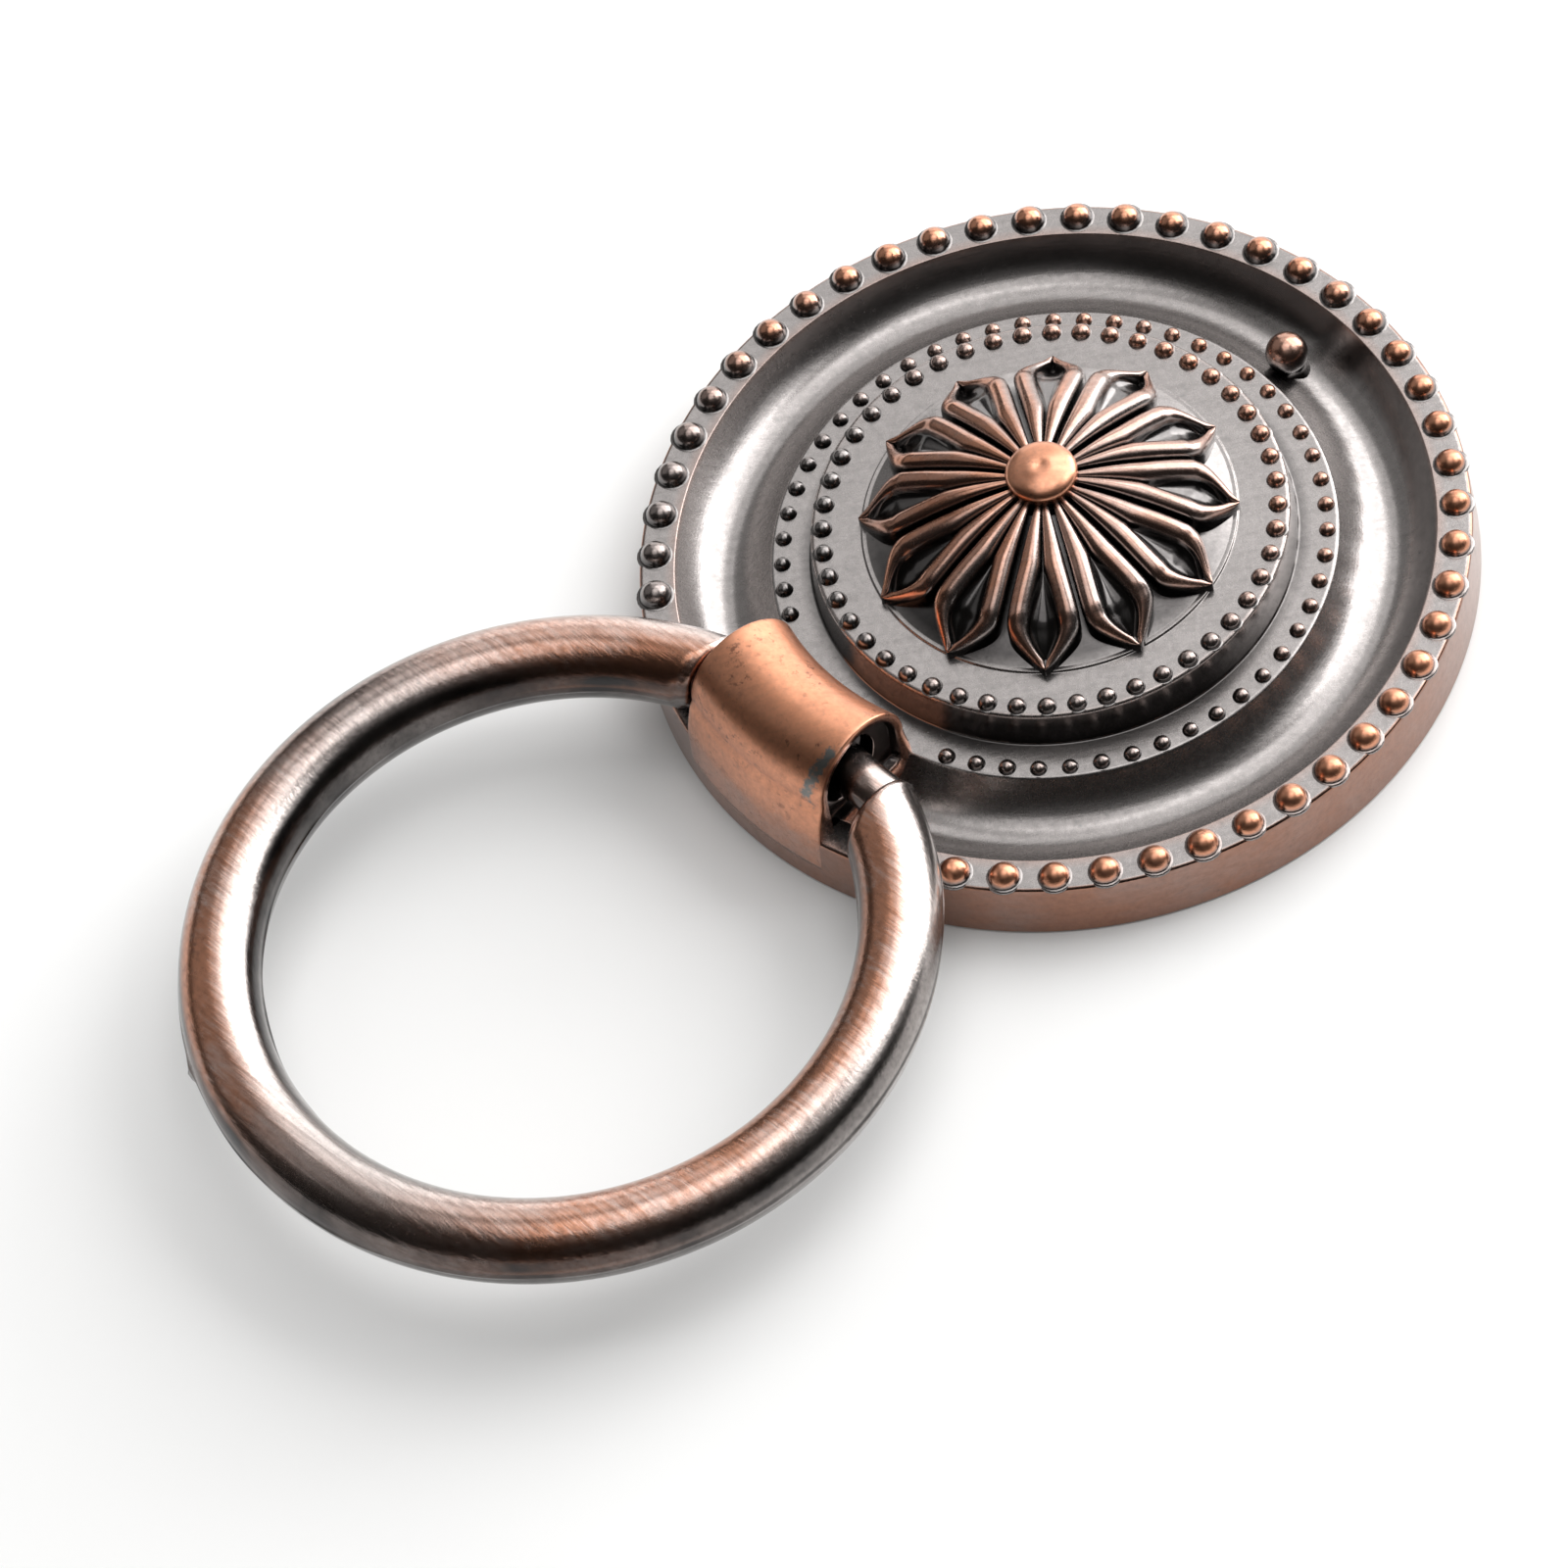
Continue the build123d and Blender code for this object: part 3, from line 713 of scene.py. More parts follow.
def peg_surface(s, p):
    """The stop peg, turned round its own axis: a ball that narrows to a neck and flares into the channel."""
    bend = np.linspace(0, math.radians(130), 18)
    ball = np.stack([s.peg_ball * np.sin(bend), s.peg_height + s.peg_ball * np.cos(bend)], axis=1)
    foot = np.array(
        [
            [s.peg_neck, p.channel_floor + 0.35],
            [s.peg_neck + 0.05, p.channel_floor + 0.15],
            [s.peg_neck + 0.25, p.channel_floor + 0.02],
            [s.peg_neck + 0.3, p.channel_floor - 0.3],
            [0, p.channel_floor - 0.3],
        ]
    )
    profile = np.vstack([ball, foot])
    z = profile[:, 1]
    rub = PEG_RUB * smooth(s.peg_height, s.peg_height + 0.9, z)
    # Copper on the ball's top, and its lower half and neck painted dark as shade
    soot_and_shade = smooth(s.peg_height + 1.0, s.peg_height - 0.4, z)
    surface = turned(profile, 40, rub, soot_and_shade)
    surface.points = surface.points + np.array([0, -s.peg_reach, 0])
    return surface


# Knuckle: points over its arch, and on each of the three other sides of its loops
ARCH_POINTS = 48
SIDE_POINTS = 14

# Makes one end of the knuckle or the ring from the other
MIRROR = np.array([-1, 1, 1])


def half_circle(s, radius):
    """The arch over the hinge as (radius, height), from its inner side to its outer side."""
    bend = np.linspace(math.pi, 0, ARCH_POINTS)
    return np.stack([s.arch_radius + radius * np.cos(bend), HINGE.z + radius * np.sin(bend)], axis=1)


def arch_section(s, p, shrink):
    """Outside of the knuckle as (radius, height) in one closed loop: a half circle over the hinge, an outer
    flank that eases into the plate's wall, a hidden floor and an inner flank that stands on the platform."""
    top = half_circle(s, s.radius - shrink)
    low = 0.35 * p.rim_height
    down = np.linspace(0, 1, SIDE_POINTS + 1)[1:]
    outer_z = HINGE.z + (low - HINGE.z) * down
    wall = p.radius - p.wall_draft * outer_z / p.rim_height + 0.03 * smooth(1.0, 0.7, down) - shrink
    outer_r = top[-1, 0] + (wall - top[-1, 0]) * smooth(-0.25, 0.52, down)
    inner_r = top[0, 0] - 0.3 + shrink + 0.3 * smooth(0.45, 1.0, down)
    inner_z = low + (HINGE.z - low) * down
    floor_r = np.linspace(outer_r[-1], inner_r[0], SIDE_POINTS + 1)[1:]
    floor = np.stack([floor_r, low - 0.3 * np.sin(math.pi * down)], axis=1)
    outer = np.stack([outer_r, outer_z], axis=1)
    inner = np.stack([inner_r, inner_z], axis=1)
    return np.vstack([top, outer, floor, inner[:-1]])


def pocket_section(s, p, grow):
    """Inside of the knuckle's thin end wall as a closed loop: a half circle with straight legs to the rim."""
    radius = s.pocket_radius + grow
    top = half_circle(s, radius)
    down = np.linspace(0, 1, SIDE_POINTS + 1)[1:, None]
    foot_z = p.rim_height - grow
    outer_foot = np.array([s.arch_radius + radius, foot_z])
    inner_foot = np.array([s.arch_radius - radius, foot_z])
    outer = top[-1] + (outer_foot - top[-1]) * down
    floor = outer_foot + (inner_foot - outer_foot) * down
    inner = inner_foot + (top[0] - inner_foot) * down
    return np.vstack([top, outer, floor, inner[:-1]])


def end_reach(s, radius, inset):
    """Angle round the plate's axis at which a circle of a radius meets the knuckle's slanted end plane.

    The plane is x = half length - inset + flare (y - hinge y), with x = r sin a and y = r cos a.
    """
    offset = s.knuckle_length / 2 - inset - s.flare * HINGE.y
    return math.atan(s.flare) + np.arcsin(offset / (radius * math.hypot(1, s.flare)))


def arch_loop(s, section, inset, part=1.0):
    """A section carried round the plate's axis to a part of the way to the knuckle's end."""
    return round_axis(section[:, 0], part * end_reach(s, section[:, 0], inset), section[:, 1])


def bore_loop(s, radius, inset, flared):
    """A circle about the hinge axis in the knuckle's end plane or, unflared, in an upright plane."""
    below = np.linspace(0, -math.pi, 3 * SIDE_POINTS + 1)[1:-1]
    bend = np.concatenate([np.linspace(math.pi, 0, ARCH_POINTS), below])
    y = radius * np.cos(bend)
    x = s.knuckle_length / 2 - inset + (s.flare * y if flared else 0 * y)
    return np.stack([x, HINGE.y + y, HINGE.z + radius * np.sin(bend)], axis=1)


def knuckle_surface(s, p):
    """The knuckle as closed loops: through the bore, out over the pocket and the end wall, along the outside
    to the other end, and back into the bore."""
    deep = s.pocket_depth + s.counterbore_depth
    # Inside the bore and the pocket the finish is painted black as shade
    half = [
        (bore_loop(s, s.bore, s.knuckle_length / 2, False), 0.1, 1.0),
        (bore_loop(s, s.bore, deep + 0.02, False), 0.1, 1.0),
        (bore_loop(s, s.counterbore - 0.05, deep, False), 0.1, 1.0),
        (bore_loop(s, s.counterbore, deep - 0.08, False), 0.1, 1.0),
        (bore_loop(s, s.counterbore, s.pocket_depth + 0.08, True), 0.1, 0.9),
        (bore_loop(s, s.counterbore + 0.03, s.pocket_depth + 0.01, True), 0.3, 0.4),
        (bore_loop(s, s.counterbore + 0.1, s.pocket_depth, True), 0.1, 0.75),
        (arch_loop(s, pocket_section(s, p, -0.08), s.pocket_depth), 0.1, 0.85),
        (arch_loop(s, pocket_section(s, p, 0.0), s.pocket_depth - 0.08), 0.1, 0.9),
        (arch_loop(s, pocket_section(s, p, 0.0), s.edge), 0.25, 0.7),
        (arch_loop(s, pocket_section(s, p, 0.05), 0.0), 0.9, 0.0),
    ]
    for turn in np.linspace(0, math.pi / 2, 5):
        section = arch_section(s, p, s.edge * (1 - math.sin(turn)))
        half.append((arch_loop(s, section, s.edge * (1 - math.cos(turn))), 1.8, 0.0))
    section = arch_section(s, p, 0.0)
    middle = [(arch_loop(s, section, s.edge, part), 2.0, 0.0) for part in np.linspace(1, -1, 49)[1:-1]]
    other_half = [(loop * MIRROR, rub, soot_and_shade) for loop, rub, soot_and_shade in half[:0:-1]]
    loops, rub, soot_and_shade = stacked(half + middle + other_half)
    # The low side of the knuckle is rubbed less bare, which paints it darker as shade
    shaded_low_side = smooth(HINGE.z + 0.4, p.rim_height - 1.0, loops[:, :, 2])
    return tube(loops, np.where(rub > 1, rub - KNUCKLE_LOW_SIDE_SHADE * shaded_low_side, rub), soot_and_shade)


def knuckle_scrape(s, points):
    """How much of a point is scraped bare: exp(-((x - x0) / w)^2), a narrow band along one end.

    It is on the arch's outer side, and its middle x0 slants with the angle round the arch.
    """
    band_width, end_distance, slant = 0.36, 0.4, 0.005
    x, y, z = points.T
    bend = np.degrees(np.arctan2(z - HINGE.z, np.hypot(x, y) - s.arch_radius))
    from_middle = x + s.knuckle_length / 2 - end_distance - slant * (45 - bend)
    return np.exp(-((from_middle / band_width) ** 2)) * smooth(-12, 20, bend) * smooth(82, 58, bend)


# Ring
RING_ROWS = 300
RING_COLUMNS = 128

# How strongly places of the ring are rubbed to copper or blackened, mostly as painted shade, and half a
# darker stretch in radians
RING_RUB = 1.25
RING_SOOT_AND_SHADE = SimpleNamespace(flank=1.05, below=0.85, first=0.45, second=0.12, seam_shade_line=0.5)
DARKER_STRETCH = 0.42


def ring_bar(s, b, radius):
    """The bent bar: at angle t round the ring and b round the bar, the distance from the ring's axis is
    R + a cos b and the height a sin b. It stops at planes beside the knuckle.

    A low seam stands on its inner and outer side, and a gate stub on the outer side. Returns the loops, the
    angles t and how far each point belongs to the stub.
    """
    ends = np.arcsin((s.shoulder + s.shoulder_round) / (radius + s.bar * np.cos(b)))
    t = ends + (2 * math.pi - 2 * ends) * np.linspace(0, 1, RING_ROWS)[:, None]
    seam_width, gate_length, gate_width, gate_drop = 0.05, 0.03, 0.22, 0.25
    b_near = np.angle(np.exp(1j * b))
    ripple = 0.55 + 0.3 * np.sin(5 * t + 1.2) * np.sin(3 * t) + 0.25 * np.sin(17 * t + 0.4)
    seam = s.seam * np.clip(ripple, 0.1, 1) * np.exp(-((np.sin(b) / seam_width) ** 2))
    gate_t, gate_b = (t - s.gate_place) / gate_length, (b_near + gate_drop) / gate_width
    gate = s.gate * np.exp(-(gate_t**2) - gate_b**2)
    bar = s.bar - s.seam + seam + gate
    away = radius + bar * np.cos(b)
    loops = np.stack([away * np.sin(t), s.reach - away * np.cos(t), bar * np.sin(b)], axis=-1)
    return loops, t, gate / s.gate


def pin_loop(b, x, radius):
    """A circle about the hinge axis at x."""
    return np.stack([x + 0 * b, -radius * np.cos(b), radius * np.sin(b)], axis=1)


def ring_end(s, b, radius):
    """One end of the ring as rows of (loop, rub, soot): a pin with a bevel and a neck groove, a flat shoulder
    and a rounding up to the bar."""
    face = radius + (s.bar - s.seam) * np.cos(b)
    face_y = s.reach - np.sqrt(face**2 - s.shoulder**2)
    rim = np.stack([s.shoulder + 0 * b, face_y, (s.bar - s.seam) * np.sin(b)], axis=1)
    neck = pin_loop(b, s.shoulder, s.pin - s.neck_groove)
    end = s.shoulder - s.pin_length
    # The pin's end, its neck groove and the corner at the shoulder are painted dark as shade
    rows = [
        (pin_loop(b, end, s.pin - s.pin_chamfer), 0.3, 0.5),
        (pin_loop(b, end + s.pin_chamfer, s.pin), 0.4, 0.4),
        (pin_loop(b, s.shoulder - 2 * s.neck_groove, s.pin), 0.5, 0.1),
        (pin_loop(b, s.shoulder - 1.2 * s.neck_groove, s.pin - 0.3 * s.neck_groove), 0.2, 0.6),
        (pin_loop(b, s.shoulder - 0.2 * s.neck_groove, s.pin - s.neck_groove), 0.0, 1.0),
        (neck, 0.0, 1.0),
        (rim + (neck - rim) * 0.85, 0.1, 0.5),
        (rim + (neck - rim) * 0.6, 0.3, 0.2),
        (rim + (neck - rim) * 0.36, 0.5, 0.0),
    ]
    for turn in np.linspace(math.pi / 2, 0, 7)[:-1]:
        loop = rim + (neck - rim) * 0.34 * (1 - math.cos(turn))
        loop[:, 0] = s.shoulder + s.shoulder_round * (1 - math.sin(turn))
        rows.append((loop, 0.75, 0.0))
    return rows


def ring_wear(s, b, where, worn, dark):
    """Rub and soot of the ring: copper on the upper faces that look to the rubbed side, and dark flanks.

    Two stretches are less rubbed and darker. Flanks that face the lit side or the far side are painted less
    dark, and a line of painted shade runs just above the seam.
    """
    up, out = np.sin(b), np.cos(b)
    stretches = (s.darker_first, s.darker_second)
    first, second = (np.exp(-(((where - middle) / DARKER_STRETCH) ** 2)) for middle in stretches)
    worn_side = smooth(-0.5, 0.25, out * np.cos(where - s.rubbed_from)) * smooth(-0.1, 0.2, up)
    worn_side = worn_side * (1 - 0.7 * (first + second))
    # Painted shade: flanks above the seam and the underside are blackened, less on the lit sides
    flank = RING_SOOT_AND_SHADE.flank * smooth(0.85, 0.6, up) * smooth(0.16, 0.34, up)
    flank = flank + RING_SOOT_AND_SHADE.below * smooth(0.34, 0.16, up)
    outer = np.clip(out, 0, 1) * np.clip(np.cos(where - s.lit_from), 0, 1)
    lit = np.maximum(outer, smooth(0.3, 0.9, out * np.cos(where - s.far_lit_from)))
    shade = flank * (1 - 0.65 * lit) * (1 - 0.6 * worn_side * smooth(0.4, 0.65, up))
    shade = shade + RING_SOOT_AND_SHADE.first * first + RING_SOOT_AND_SHADE.second * second
    seam_shade_line = np.exp(-(((up - 0.075) / 0.045) ** 2))
    return worn * RING_RUB * worn_side, dark + shade + RING_SOOT_AND_SHADE.seam_shade_line * seam_shade_line


def ring_surface(s):
    """The bar with an end on each side, hung on the hinge axis and turned down by the droop."""
    even = np.linspace(0, 2 * math.pi, RING_COLUMNS, endpoint=False)
    b = even - 0.4 * np.sin(2 * even)
    radius = (RING_HIGH.x - RING_LOW.x) / 2 - s.bar
    bar, t, stub = ring_bar(s, b, radius)
    start, worn, dark = stacked(ring_end(s, b, radius))
    plain = np.ones((RING_ROWS, 1))
    where = np.concatenate([np.repeat(t[:1], len(start), 0), t, np.repeat(t[-1:], len(start), 0)])
    worn = np.concatenate([worn, plain, worn[::-1]])
    dark = np.concatenate([dark, 0 * plain, dark[::-1]])
    rub, soot_and_shade = ring_wear(s, b, where, worn, dark)
    soot_and_shade[len(start):-len(start)] += stub
    end = s.shoulder - s.pin_length
    tips = np.array([[end, 0, 0], [-end, 0, 0]])
    surface = tube(np.concatenate([start, bar, start[::-1] * MIRROR]), rub, np.clip(soot_and_shade, 0, 1), tips)
    sag = Matrix.Rotation(-s.droop, 3, "X")
    surface.points = surface.points @ np.array(sag).T + np.array([s.shift, HINGE.y, HINGE.z])
    return surface


# Finishes, with the scales of their noise for each metre
CLOUD_SCALE = 260.0
GRAIN_SCALE = 2600.0
PIT_SCALE = 2100.0
PATCH_SCALE = 420.0


class Nodes:
    """Short way to add shader nodes: a value sets a socket, and another node's socket is linked to it."""

    def __init__(self, owner):
        self.tree = owner.node_tree

    def add(self, kind, inputs=None, **settings):
        """A node with its settings and inputs."""
        node = self.tree.nodes.new(kind)
        for key, value in settings.items():
            setattr(node, key, value)
        for key, value in (inputs or {}).items():
            if isinstance(value, bpy.types.NodeSocket):
                self.tree.links.new(value, node.inputs[key])
            else:
                node.inputs[key].default_value = value
        return node

    def math(self, operation, *values, clamp=False):
        """The result of one operation on values."""
        inputs = dict(enumerate(values))
        return self.add("ShaderNodeMath", inputs, operation=operation, use_clamp=clamp).outputs[0]

    def spread(self, value, low, high, to_low, to_high):
        """A value's range mapped to another range, and held at its ends."""
        inputs = {"Value": value, 1: low, 2: high, 3: to_low, 4: to_high}
        return self.add("ShaderNodeMapRange", inputs, clamp=True).outputs[0]

    def noise(self, vector, scale, detail, roughness=0.55, distortion=0.0):
        """Cloudy noise from 0 to 1."""
        inputs = {"Vector": vector, "Scale": scale, "Detail": detail}
        inputs.update({"Roughness": roughness, "Distortion": distortion})
        return self.add("ShaderNodeTexNoise", inputs).outputs["Fac"]

    def mapped(self, vector, **inputs):
        """A place turned by Rotation or stretched by Scale."""
        return self.add("ShaderNodeMapping", {"Vector": vector, **inputs}).outputs[0]

    def attribute(self, name):
        """A value that the mesh holds for each point."""
        return self.add("ShaderNodeAttribute", attribute_name=name).outputs["Fac"]

    def mix(self, factor, a, b):
        """Colour a, and colour b where the factor is 1."""
        return self.add("ShaderNodeMix", {0: factor, 6: a, 7: b}, data_type="RGBA").outputs[2]


def rgba(value):
    """A linear colour with full alpha."""
    return (*value, 1.0)


def copper_finish(name, ground, streak_shape, streak_turn, streak_scale, streak_depth):
    """Antique copper under a thin clear lacquer: a satin ground, rubbed through to copper where the rub value
    is high, and black where the value for soot and painted shade is high.

    Fine grain gives its bump, streaks are noise drawn out along one direction, and pits lie in bare copper.
    """
    if name in bpy.data.materials:
        return bpy.data.materials[name]
    finish = sizes("ring_pull_finish")
    black = rgba(finish.soot_and_shade)
    material = bpy.data.materials.new(name)
    material.use_nodes = True
    n = Nodes(material)
    place = n.add("ShaderNodeTexCoord").outputs["Object"]
    rub, soot_and_shade, scrape = (n.attribute(key) for key in ("rub", "soot_and_shade", "scrape"))
    cloud = n.noise(place, CLOUD_SCALE, 3.0)
    grain = n.noise(place, GRAIN_SCALE, 5.0, 0.65)
    turned_place = n.mapped(place, Rotation=(0, 0, math.radians(streak_turn)))
    streak = n.noise(n.mapped(turned_place, Scale=streak_shape), streak_scale, 4.0, 0.65, 0.3)

    # Copper where the ground is rubbed, bare and pitted where it is rubbed most
    marks = n.spread(streak, 0.3, 0.7, -0.13 * streak_depth, 0.11 * streak_depth)
    uneven = n.math("ADD", n.spread(cloud, 0.3, 0.7, -0.3, 0.12), marks)
    worn = n.math("MULTIPLY", rub, n.math("ADD", uneven, 0.92), clamp=True)
    metal = n.mix(worn, rgba(getattr(finish, ground)), rgba(finish.copper))
    bare = n.spread(n.math("ADD", rub, n.math("MULTIPLY", uneven, 1.3)), 0.9, 1.8, 0.0, 1.0)
    metal = n.mix(bare, metal, rgba(finish.bare))
    pit = n.math("MULTIPLY", n.spread(n.noise(place, PIT_SCALE, 3.0, 0.7), 0.56, 0.64, 0.0, 0.75), bare)
    pit = n.math("MULTIPLY", pit, n.spread(n.noise(place, PATCH_SCALE, 2.0), 0.42, 0.6, 0.0, 1.0))
    metal = n.mix(pit, metal, rgba(finish.pit))
    ragged = n.math("ADD", scrape, n.spread(grain, 0.3, 0.7, -0.5, 0.5))
    metal = n.mix(n.spread(ragged, 0.4, 0.75, 0.0, 0.9), metal, rgba(finish.scrape))

    # Black in the grain, the streaks, the sooty recesses and the painted shade
    specks = n.spread(grain, 0.35, 0.75, 0.0, 0.25)
    shadow = n.math("ADD", specks, n.spread(streak, 0.45, 0.7, 0.0, 0.14 * streak_depth))
    dark = n.math("MULTIPLY", soot_and_shade, n.spread(cloud, 0.3, 0.7, 0.8, 1.05), clamp=True)
    tone = n.mix(dark, n.mix(shadow, metal, black), black)

    rough = n.spread(worn, 0.0, 1.0, finish.patina_roughness, finish.copper_roughness)
    rough = n.math("ADD", rough, n.spread(grain, 0.3, 0.7, -0.03, 0.05))
    rough = n.math("ADD", rough, n.spread(rub, 1.3, 2.0, 0.0, finish.matt))
    rough = n.math("ADD", rough, n.math("MULTIPLY", dark, -0.08))
    height = n.math("ADD", n.math("MULTIPLY", grain, 0.6), n.math("MULTIPLY", streak, streak_depth))
    height = n.math("ADD", height, n.math("MULTIPLY", cloud, 2.5))
    bump = n.add("ShaderNodeBump", {"Strength": 0.4, "Distance": 0.00002, "Height": height})
    shader = n.tree.nodes["Principled BSDF"]
    n.tree.links.new(tone, shader.inputs["Base Color"])
    n.tree.links.new(rough, shader.inputs["Roughness"])
    n.tree.links.new(bump.outputs[0], shader.inputs["Normal"])
    shader.inputs["Metallic"].default_value = 1.0
    shader.inputs["Coat Weight"].default_value = finish.lacquer
    shader.inputs["Coat Roughness"].default_value = finish.lacquer_roughness
    return material


def plate_finish():
    """Finish of the backplate casting, with faint slanted rubbing marks."""
    return copper_finish(
        "antique_copper_plate",
        "patina",
        streak_shape=(1, 0.12, 1),
        streak_turn=35,
        streak_scale=3000.0,
        streak_depth=0.9,
    )


def ring_finish():
    """Finish of the ring, which was brushed straight across, nearly along X."""
    return copper_finish(
        "antique_copper_ring",
        "brushed",
        streak_shape=(0.05, 1, 1),
        streak_turn=-4,
        streak_scale=3600.0,
        streak_depth=2.3,
    )


# Stage, in metres but for the camera's sensor
TABLE_RADIUS = 1.2
TABLE_DROP = 0.00005
TENT_RADIUS = 1.15
LAMP_DISTANCE = 0.7
SENSOR_MM = 36.0

# Strength of the room's light on matt things, where 1 is white
ROOM_LIGHT = 0.26

# Softboxes: bearing and rise in degrees, width and height in metres, and radiance
LAMPS = {
    "lamp_window_low": (62, 15, 0.46, 0.36, 6.0),
    "lamp_window_high": (58, 45, 0.66, 0.4, 3.5),
    "lamp_back_low": (15, 15, 0.66, 0.36, 1.65),
    "lamp_back_high": (5, 47, 0.4, 0.36, 1.1),
    "lamp_side": (95, 45, 0.36, 0.36, 1.2),
    "lamp_top": (40, 74, 0.42, 0.36, 1.5),
    "lamp_zenith": (180, 85, 0.44, 0.4, 1.3),
    "lamp_left": (-50, 38, 0.7, 0.6, 0.3),
    "lamp_front": (180, 62, 0.5, 0.36, 0.12),
}


def table_paint(tone):
    """A plain pale matt paint."""
    material = bpy.data.materials.new("pale_table")
    material.use_nodes = True
    shader = material.node_tree.nodes["Principled BSDF"]
    shader.inputs["Base Color"].default_value = rgba(tone)
    shader.inputs["Roughness"].default_value = 0.9
    shader.inputs["Specular IOR Level"].default_value = 0.0
    return material


def tent_cloth(name, tone):
    """A dark cloth of one even tone."""
    material = bpy.data.materials.new(name)
    material.use_nodes = True
    n = Nodes(material)
    n.tree.nodes.clear()
    cloth = n.add("ShaderNodeEmission", {"Color": rgba(tone), "Strength": 1.0})
    n.add("ShaderNodeOutputMaterial", {"Surface": cloth.outputs[0]})
    return material


def stage_piece(name, points, faces, material):
    """A mesh of the stage, which isn't part of the pull."""
    mesh = bpy.data.meshes.new(name)
    mesh.from_pydata(points.reshape(-1, 3).tolist(), [], faces)
    mesh.materials.append(material)
    piece = put_in_scene(name, mesh)
    return piece


def table_top(settings):
    """A flat round table just under the back face: x = R sin a, y = R cos a."""
    points = round_axis(TABLE_RADIUS, np.linspace(0, 2 * math.pi, 96, endpoint=False), -TABLE_DROP)
    stage_piece("table", points, [list(range(len(points)))[::-1]], table_paint(settings.floor_colour))


def dark_tent(settings):
    """A dark half ball over the stage that only reflections see, as dark cloth round shiny metal.

    x = R cos e sin a, y = R cos e cos a, z = R sin e.
    """
    turn = np.linspace(0, 2 * math.pi, 64, endpoint=False)
    rise = np.linspace(0.0, math.radians(89), 18)[:, None]
    points = TENT_RADIUS * round_axis(np.cos(rise), turn, np.sin(rise))
    faces = grid_faces(len(rise), len(turn), closed_columns=True).tolist()
    tent = stage_piece("dark_tent", points, faces, tent_cloth("dark_tent", settings.tent_colour))
    for ray in ("visible_camera", "visible_diffuse", "visible_shadow", "visible_transmission"):
        setattr(tent, ray, False)


def soft_lamp(settings, name, bearing, rise, width, height, radiance):
    """A softbox that faces the pull, at a bearing from the camera's view and a rise above the table.

    A bearing of 0 degrees is straight ahead, and 90 degrees is to the right.
    """
    bearing, rise = math.radians(bearing), math.radians(rise)
    view = Vector(settings.look)
    ahead = Vector((view.x, view.y, 0)).normalized()
    right = Vector((ahead.y, -ahead.x, 0))
    level = ahead * math.cos(bearing) + right * math.sin(bearing)
    place = LAMP_DISTANCE * (level * math.cos(rise) + Vector((0, 0, math.sin(rise))))
    lamp = bpy.data.lights.new(name, "AREA")
    lamp.shape = "RECTANGLE"
    lamp.size, lamp.size_y = width, height
    lamp.energy = radiance * math.pi * width * height
    holder = put_in_scene(name, lamp)
    holder.location = place
    holder.rotation_euler = (-place).to_track_quat("-Z", "Y").to_euler()


def white_room():
    """A white surround for views and reflections, and an even dimmer light for matt things."""
    world = bpy.data.worlds.new("white_room")
    bpy.context.scene.world = world
    world.use_nodes = True
    n = Nodes(world)
    n.tree.nodes.clear()
    path = n.add("ShaderNodeLightPath")
    seen = n.math("MAXIMUM", path.outputs["Is Camera Ray"], path.outputs["Is Glossy Ray"])
    seen = n.math("MAXIMUM", seen, path.outputs["Is Transmission Ray"])
    white = (1, 1, 1, 1)
    dim = n.add("ShaderNodeBackground", {"Color": white, "Strength": ROOM_LIGHT})
    full = n.add("ShaderNodeBackground", {"Color": white, "Strength": 1.0})
    both = n.add("ShaderNodeMixShader", {0: seen, 1: dim.outputs[0], 2: full.outputs[0]})
    n.add("ShaderNodeOutputWorld", {"Surface": both.outputs[0]})


def photo_camera(settings):
    """A camera from its place, its view direction and its upright."""
    data = bpy.data.cameras.new("camera")
    data.lens = settings.lens
    data.sensor_width = SENSOR_MM
    data.clip_start, data.clip_end = 0.01, 10.0
    camera = put_in_scene("camera", data)
    back = -Vector(settings.look).normalized()
    right = Vector(settings.upright).cross(back).normalized()
    turn = Matrix((right, back.cross(right), back)).transposed()
    camera.matrix_world = Matrix.Translation(settings.eye) @ turn.to_4x4()
    bpy.context.scene.camera = camera


# Operators
class RINGPULL_OT_plate(bpy.types.Operator):
    """Make the turned plate and the thread in its post"""

    bl_idname = "ring_pull.plate"
    bl_label = "Plate"

    def execute(self, context):
        plate = sizes("ring_pull_plate")
        on_plate("plate_body", plate_surface(plate, sizes("ring_pull_rosette")))
        on_plate("screw_thread", thread_surface(plate))
        return {"FINISHED"}


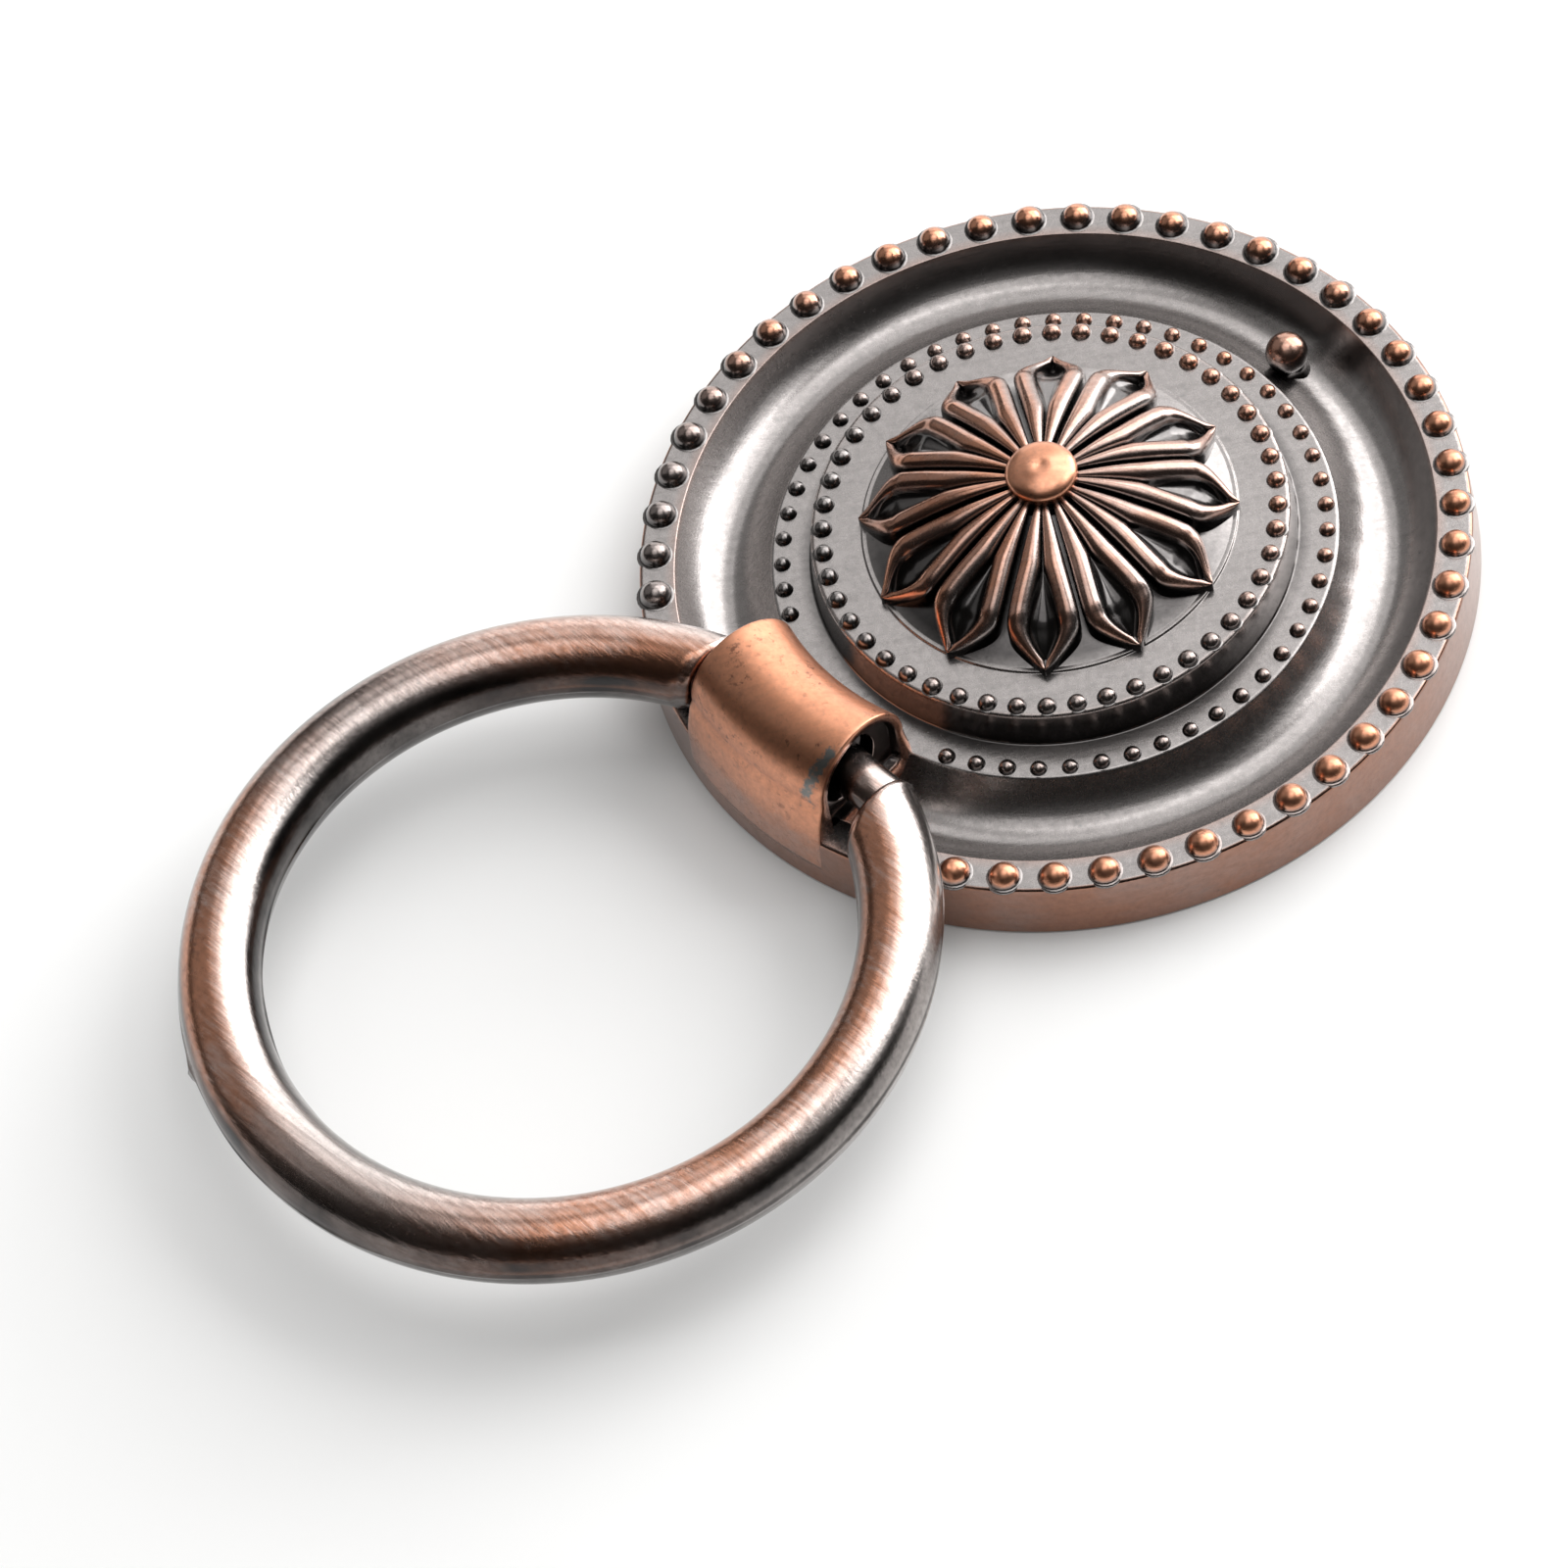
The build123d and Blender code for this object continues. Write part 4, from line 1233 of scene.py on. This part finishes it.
class RINGPULL_OT_beads(bpy.types.Operator):
    """Make the rows of beads on the rim, the platform and the boss"""

    bl_idname = "ring_pull.beads"
    bl_label = "Beads"

    def execute(self, context):
        p, s = sizes("ring_pull_plate"), sizes("ring_pull_beads")
        at = plate_radii(p)
        rows = {
            "rim_beads": SimpleNamespace(
                circle=at.rim_outer - p.rim_width / 2 + s.margin,
                height=p.rim_height,
                radius=s.rim_radius,
                places=s.rim_places,
                beads=s.rim_beads,
                start=s.rim_start,
                polish=s.rim_polish,
                rubbed_from=s.rim_rubbed,
            ),
            "platform_beads": SimpleNamespace(
                circle=at.platform - s.platform_radius - s.margin,
                height=p.platform_height,
                radius=s.platform_radius,
                places=s.platform_places,
                beads=s.platform_beads,
                start=s.platform_start,
                polish=s.inner_polish,
                rubbed_from=s.inner_rubbed,
            ),
            "boss_beads": SimpleNamespace(
                circle=at.boss - s.boss_radius - s.margin,
                height=p.boss_height,
                radius=s.boss_radius,
                places=s.boss_beads,
                beads=s.boss_beads,
                start=s.boss_start,
                polish=s.inner_polish,
                rubbed_from=s.inner_rubbed,
            ),
        }
        for name, row in rows.items():
            on_plate(name, bead_row(row, s.shaded_from, s.sink))
        return {"FINISHED"}


class RINGPULL_OT_rosette(bpy.types.Operator):
    """Make the petals and the button"""

    bl_idname = "ring_pull.rosette"
    bl_label = "Rosette"

    def execute(self, context):
        s = sizes("ring_pull_rosette")
        on_plate("rosette_petals", petal_ring(s))
        on_plate("rosette_button", button_surface(s))
        return {"FINISHED"}


class RINGPULL_OT_knuckle(bpy.types.Operator):
    """Make the hinge knuckle and the stop peg"""

    bl_idname = "ring_pull.knuckle"
    bl_label = "Knuckle and peg"

    def execute(self, context):
        s, p = sizes("ring_pull_knuckle"), sizes("ring_pull_plate")
        knuckle = knuckle_surface(s, p)
        on_plate("hinge_knuckle", knuckle, {"scrape": knuckle_scrape(s, knuckle.points)})
        on_plate("stop_peg", peg_surface(s, p))
        return {"FINISHED"}


class RINGPULL_OT_ring(bpy.types.Operator):
    """Make the swinging ring with its pins"""

    bl_idname = "ring_pull.ring"
    bl_label = "Ring"

    def execute(self, context):
        surface = ring_surface(sizes("ring_pull_ring"))
        cast_piece("pull_ring", surface, "ring", "ring", ring_finish())
        return {"FINISHED"}


class RINGPULL_OT_stage(bpy.types.Operator):
    """Make the floor, the light and the camera"""

    bl_idname = "ring_pull.stage"
    bl_label = "Stage"

    def execute(self, context):
        settings = sizes("ring_pull_stage")
        table_top(settings)
        dark_tent(settings)
        for name, lamp in LAMPS.items():
            soft_lamp(settings, name, *lamp)
        white_room()
        photo_camera(settings)
        context.scene.view_settings.view_transform = "Standard"
        return {"FINISHED"}


OPERATORS = (
    RINGPULL_OT_plate,
    RINGPULL_OT_beads,
    RINGPULL_OT_rosette,
    RINGPULL_OT_knuckle,
    RINGPULL_OT_ring,
    RINGPULL_OT_stage,
)


class RINGPULL_PT_panel(bpy.types.Panel):
    """Sizes, finish and steps of the ring pull"""

    bl_idname = "RINGPULL_PT_panel"
    bl_label = "Ring Pull"
    bl_space_type = "VIEW_3D"
    bl_region_type = "UI"
    bl_category = "Ring Pull"

    def draw(self, context):
        for operator in OPERATORS:
            self.layout.operator(operator.bl_idname)
        for name in GROUPS:
            group = getattr(context.scene, name)
            box = self.layout.box()
            for key in group.__annotations__:
                box.prop(group, key)


CLASSES = (*GROUPS.values(), *OPERATORS, RINGPULL_PT_panel)


def register():
    """Registers the classes and gives the scene its property groups."""
    for cls in CLASSES:
        bpy.utils.register_class(cls)
    for name, cls in GROUPS.items():
        setattr(bpy.types.Scene, name, PointerProperty(type=cls))


def unregister():
    """Takes the property groups and the classes away again."""
    for name in GROUPS:
        delattr(bpy.types.Scene, name)
    for cls in reversed(CLASSES):
        bpy.utils.unregister_class(cls)


def main():
    """Registers the classes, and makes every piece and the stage."""
    register()
    bpy.ops.ring_pull.plate()
    bpy.ops.ring_pull.beads()
    bpy.ops.ring_pull.rosette()
    bpy.ops.ring_pull.knuckle()
    bpy.ops.ring_pull.ring()
    bpy.ops.ring_pull.stage()


if __name__ == "__main__":
    main()
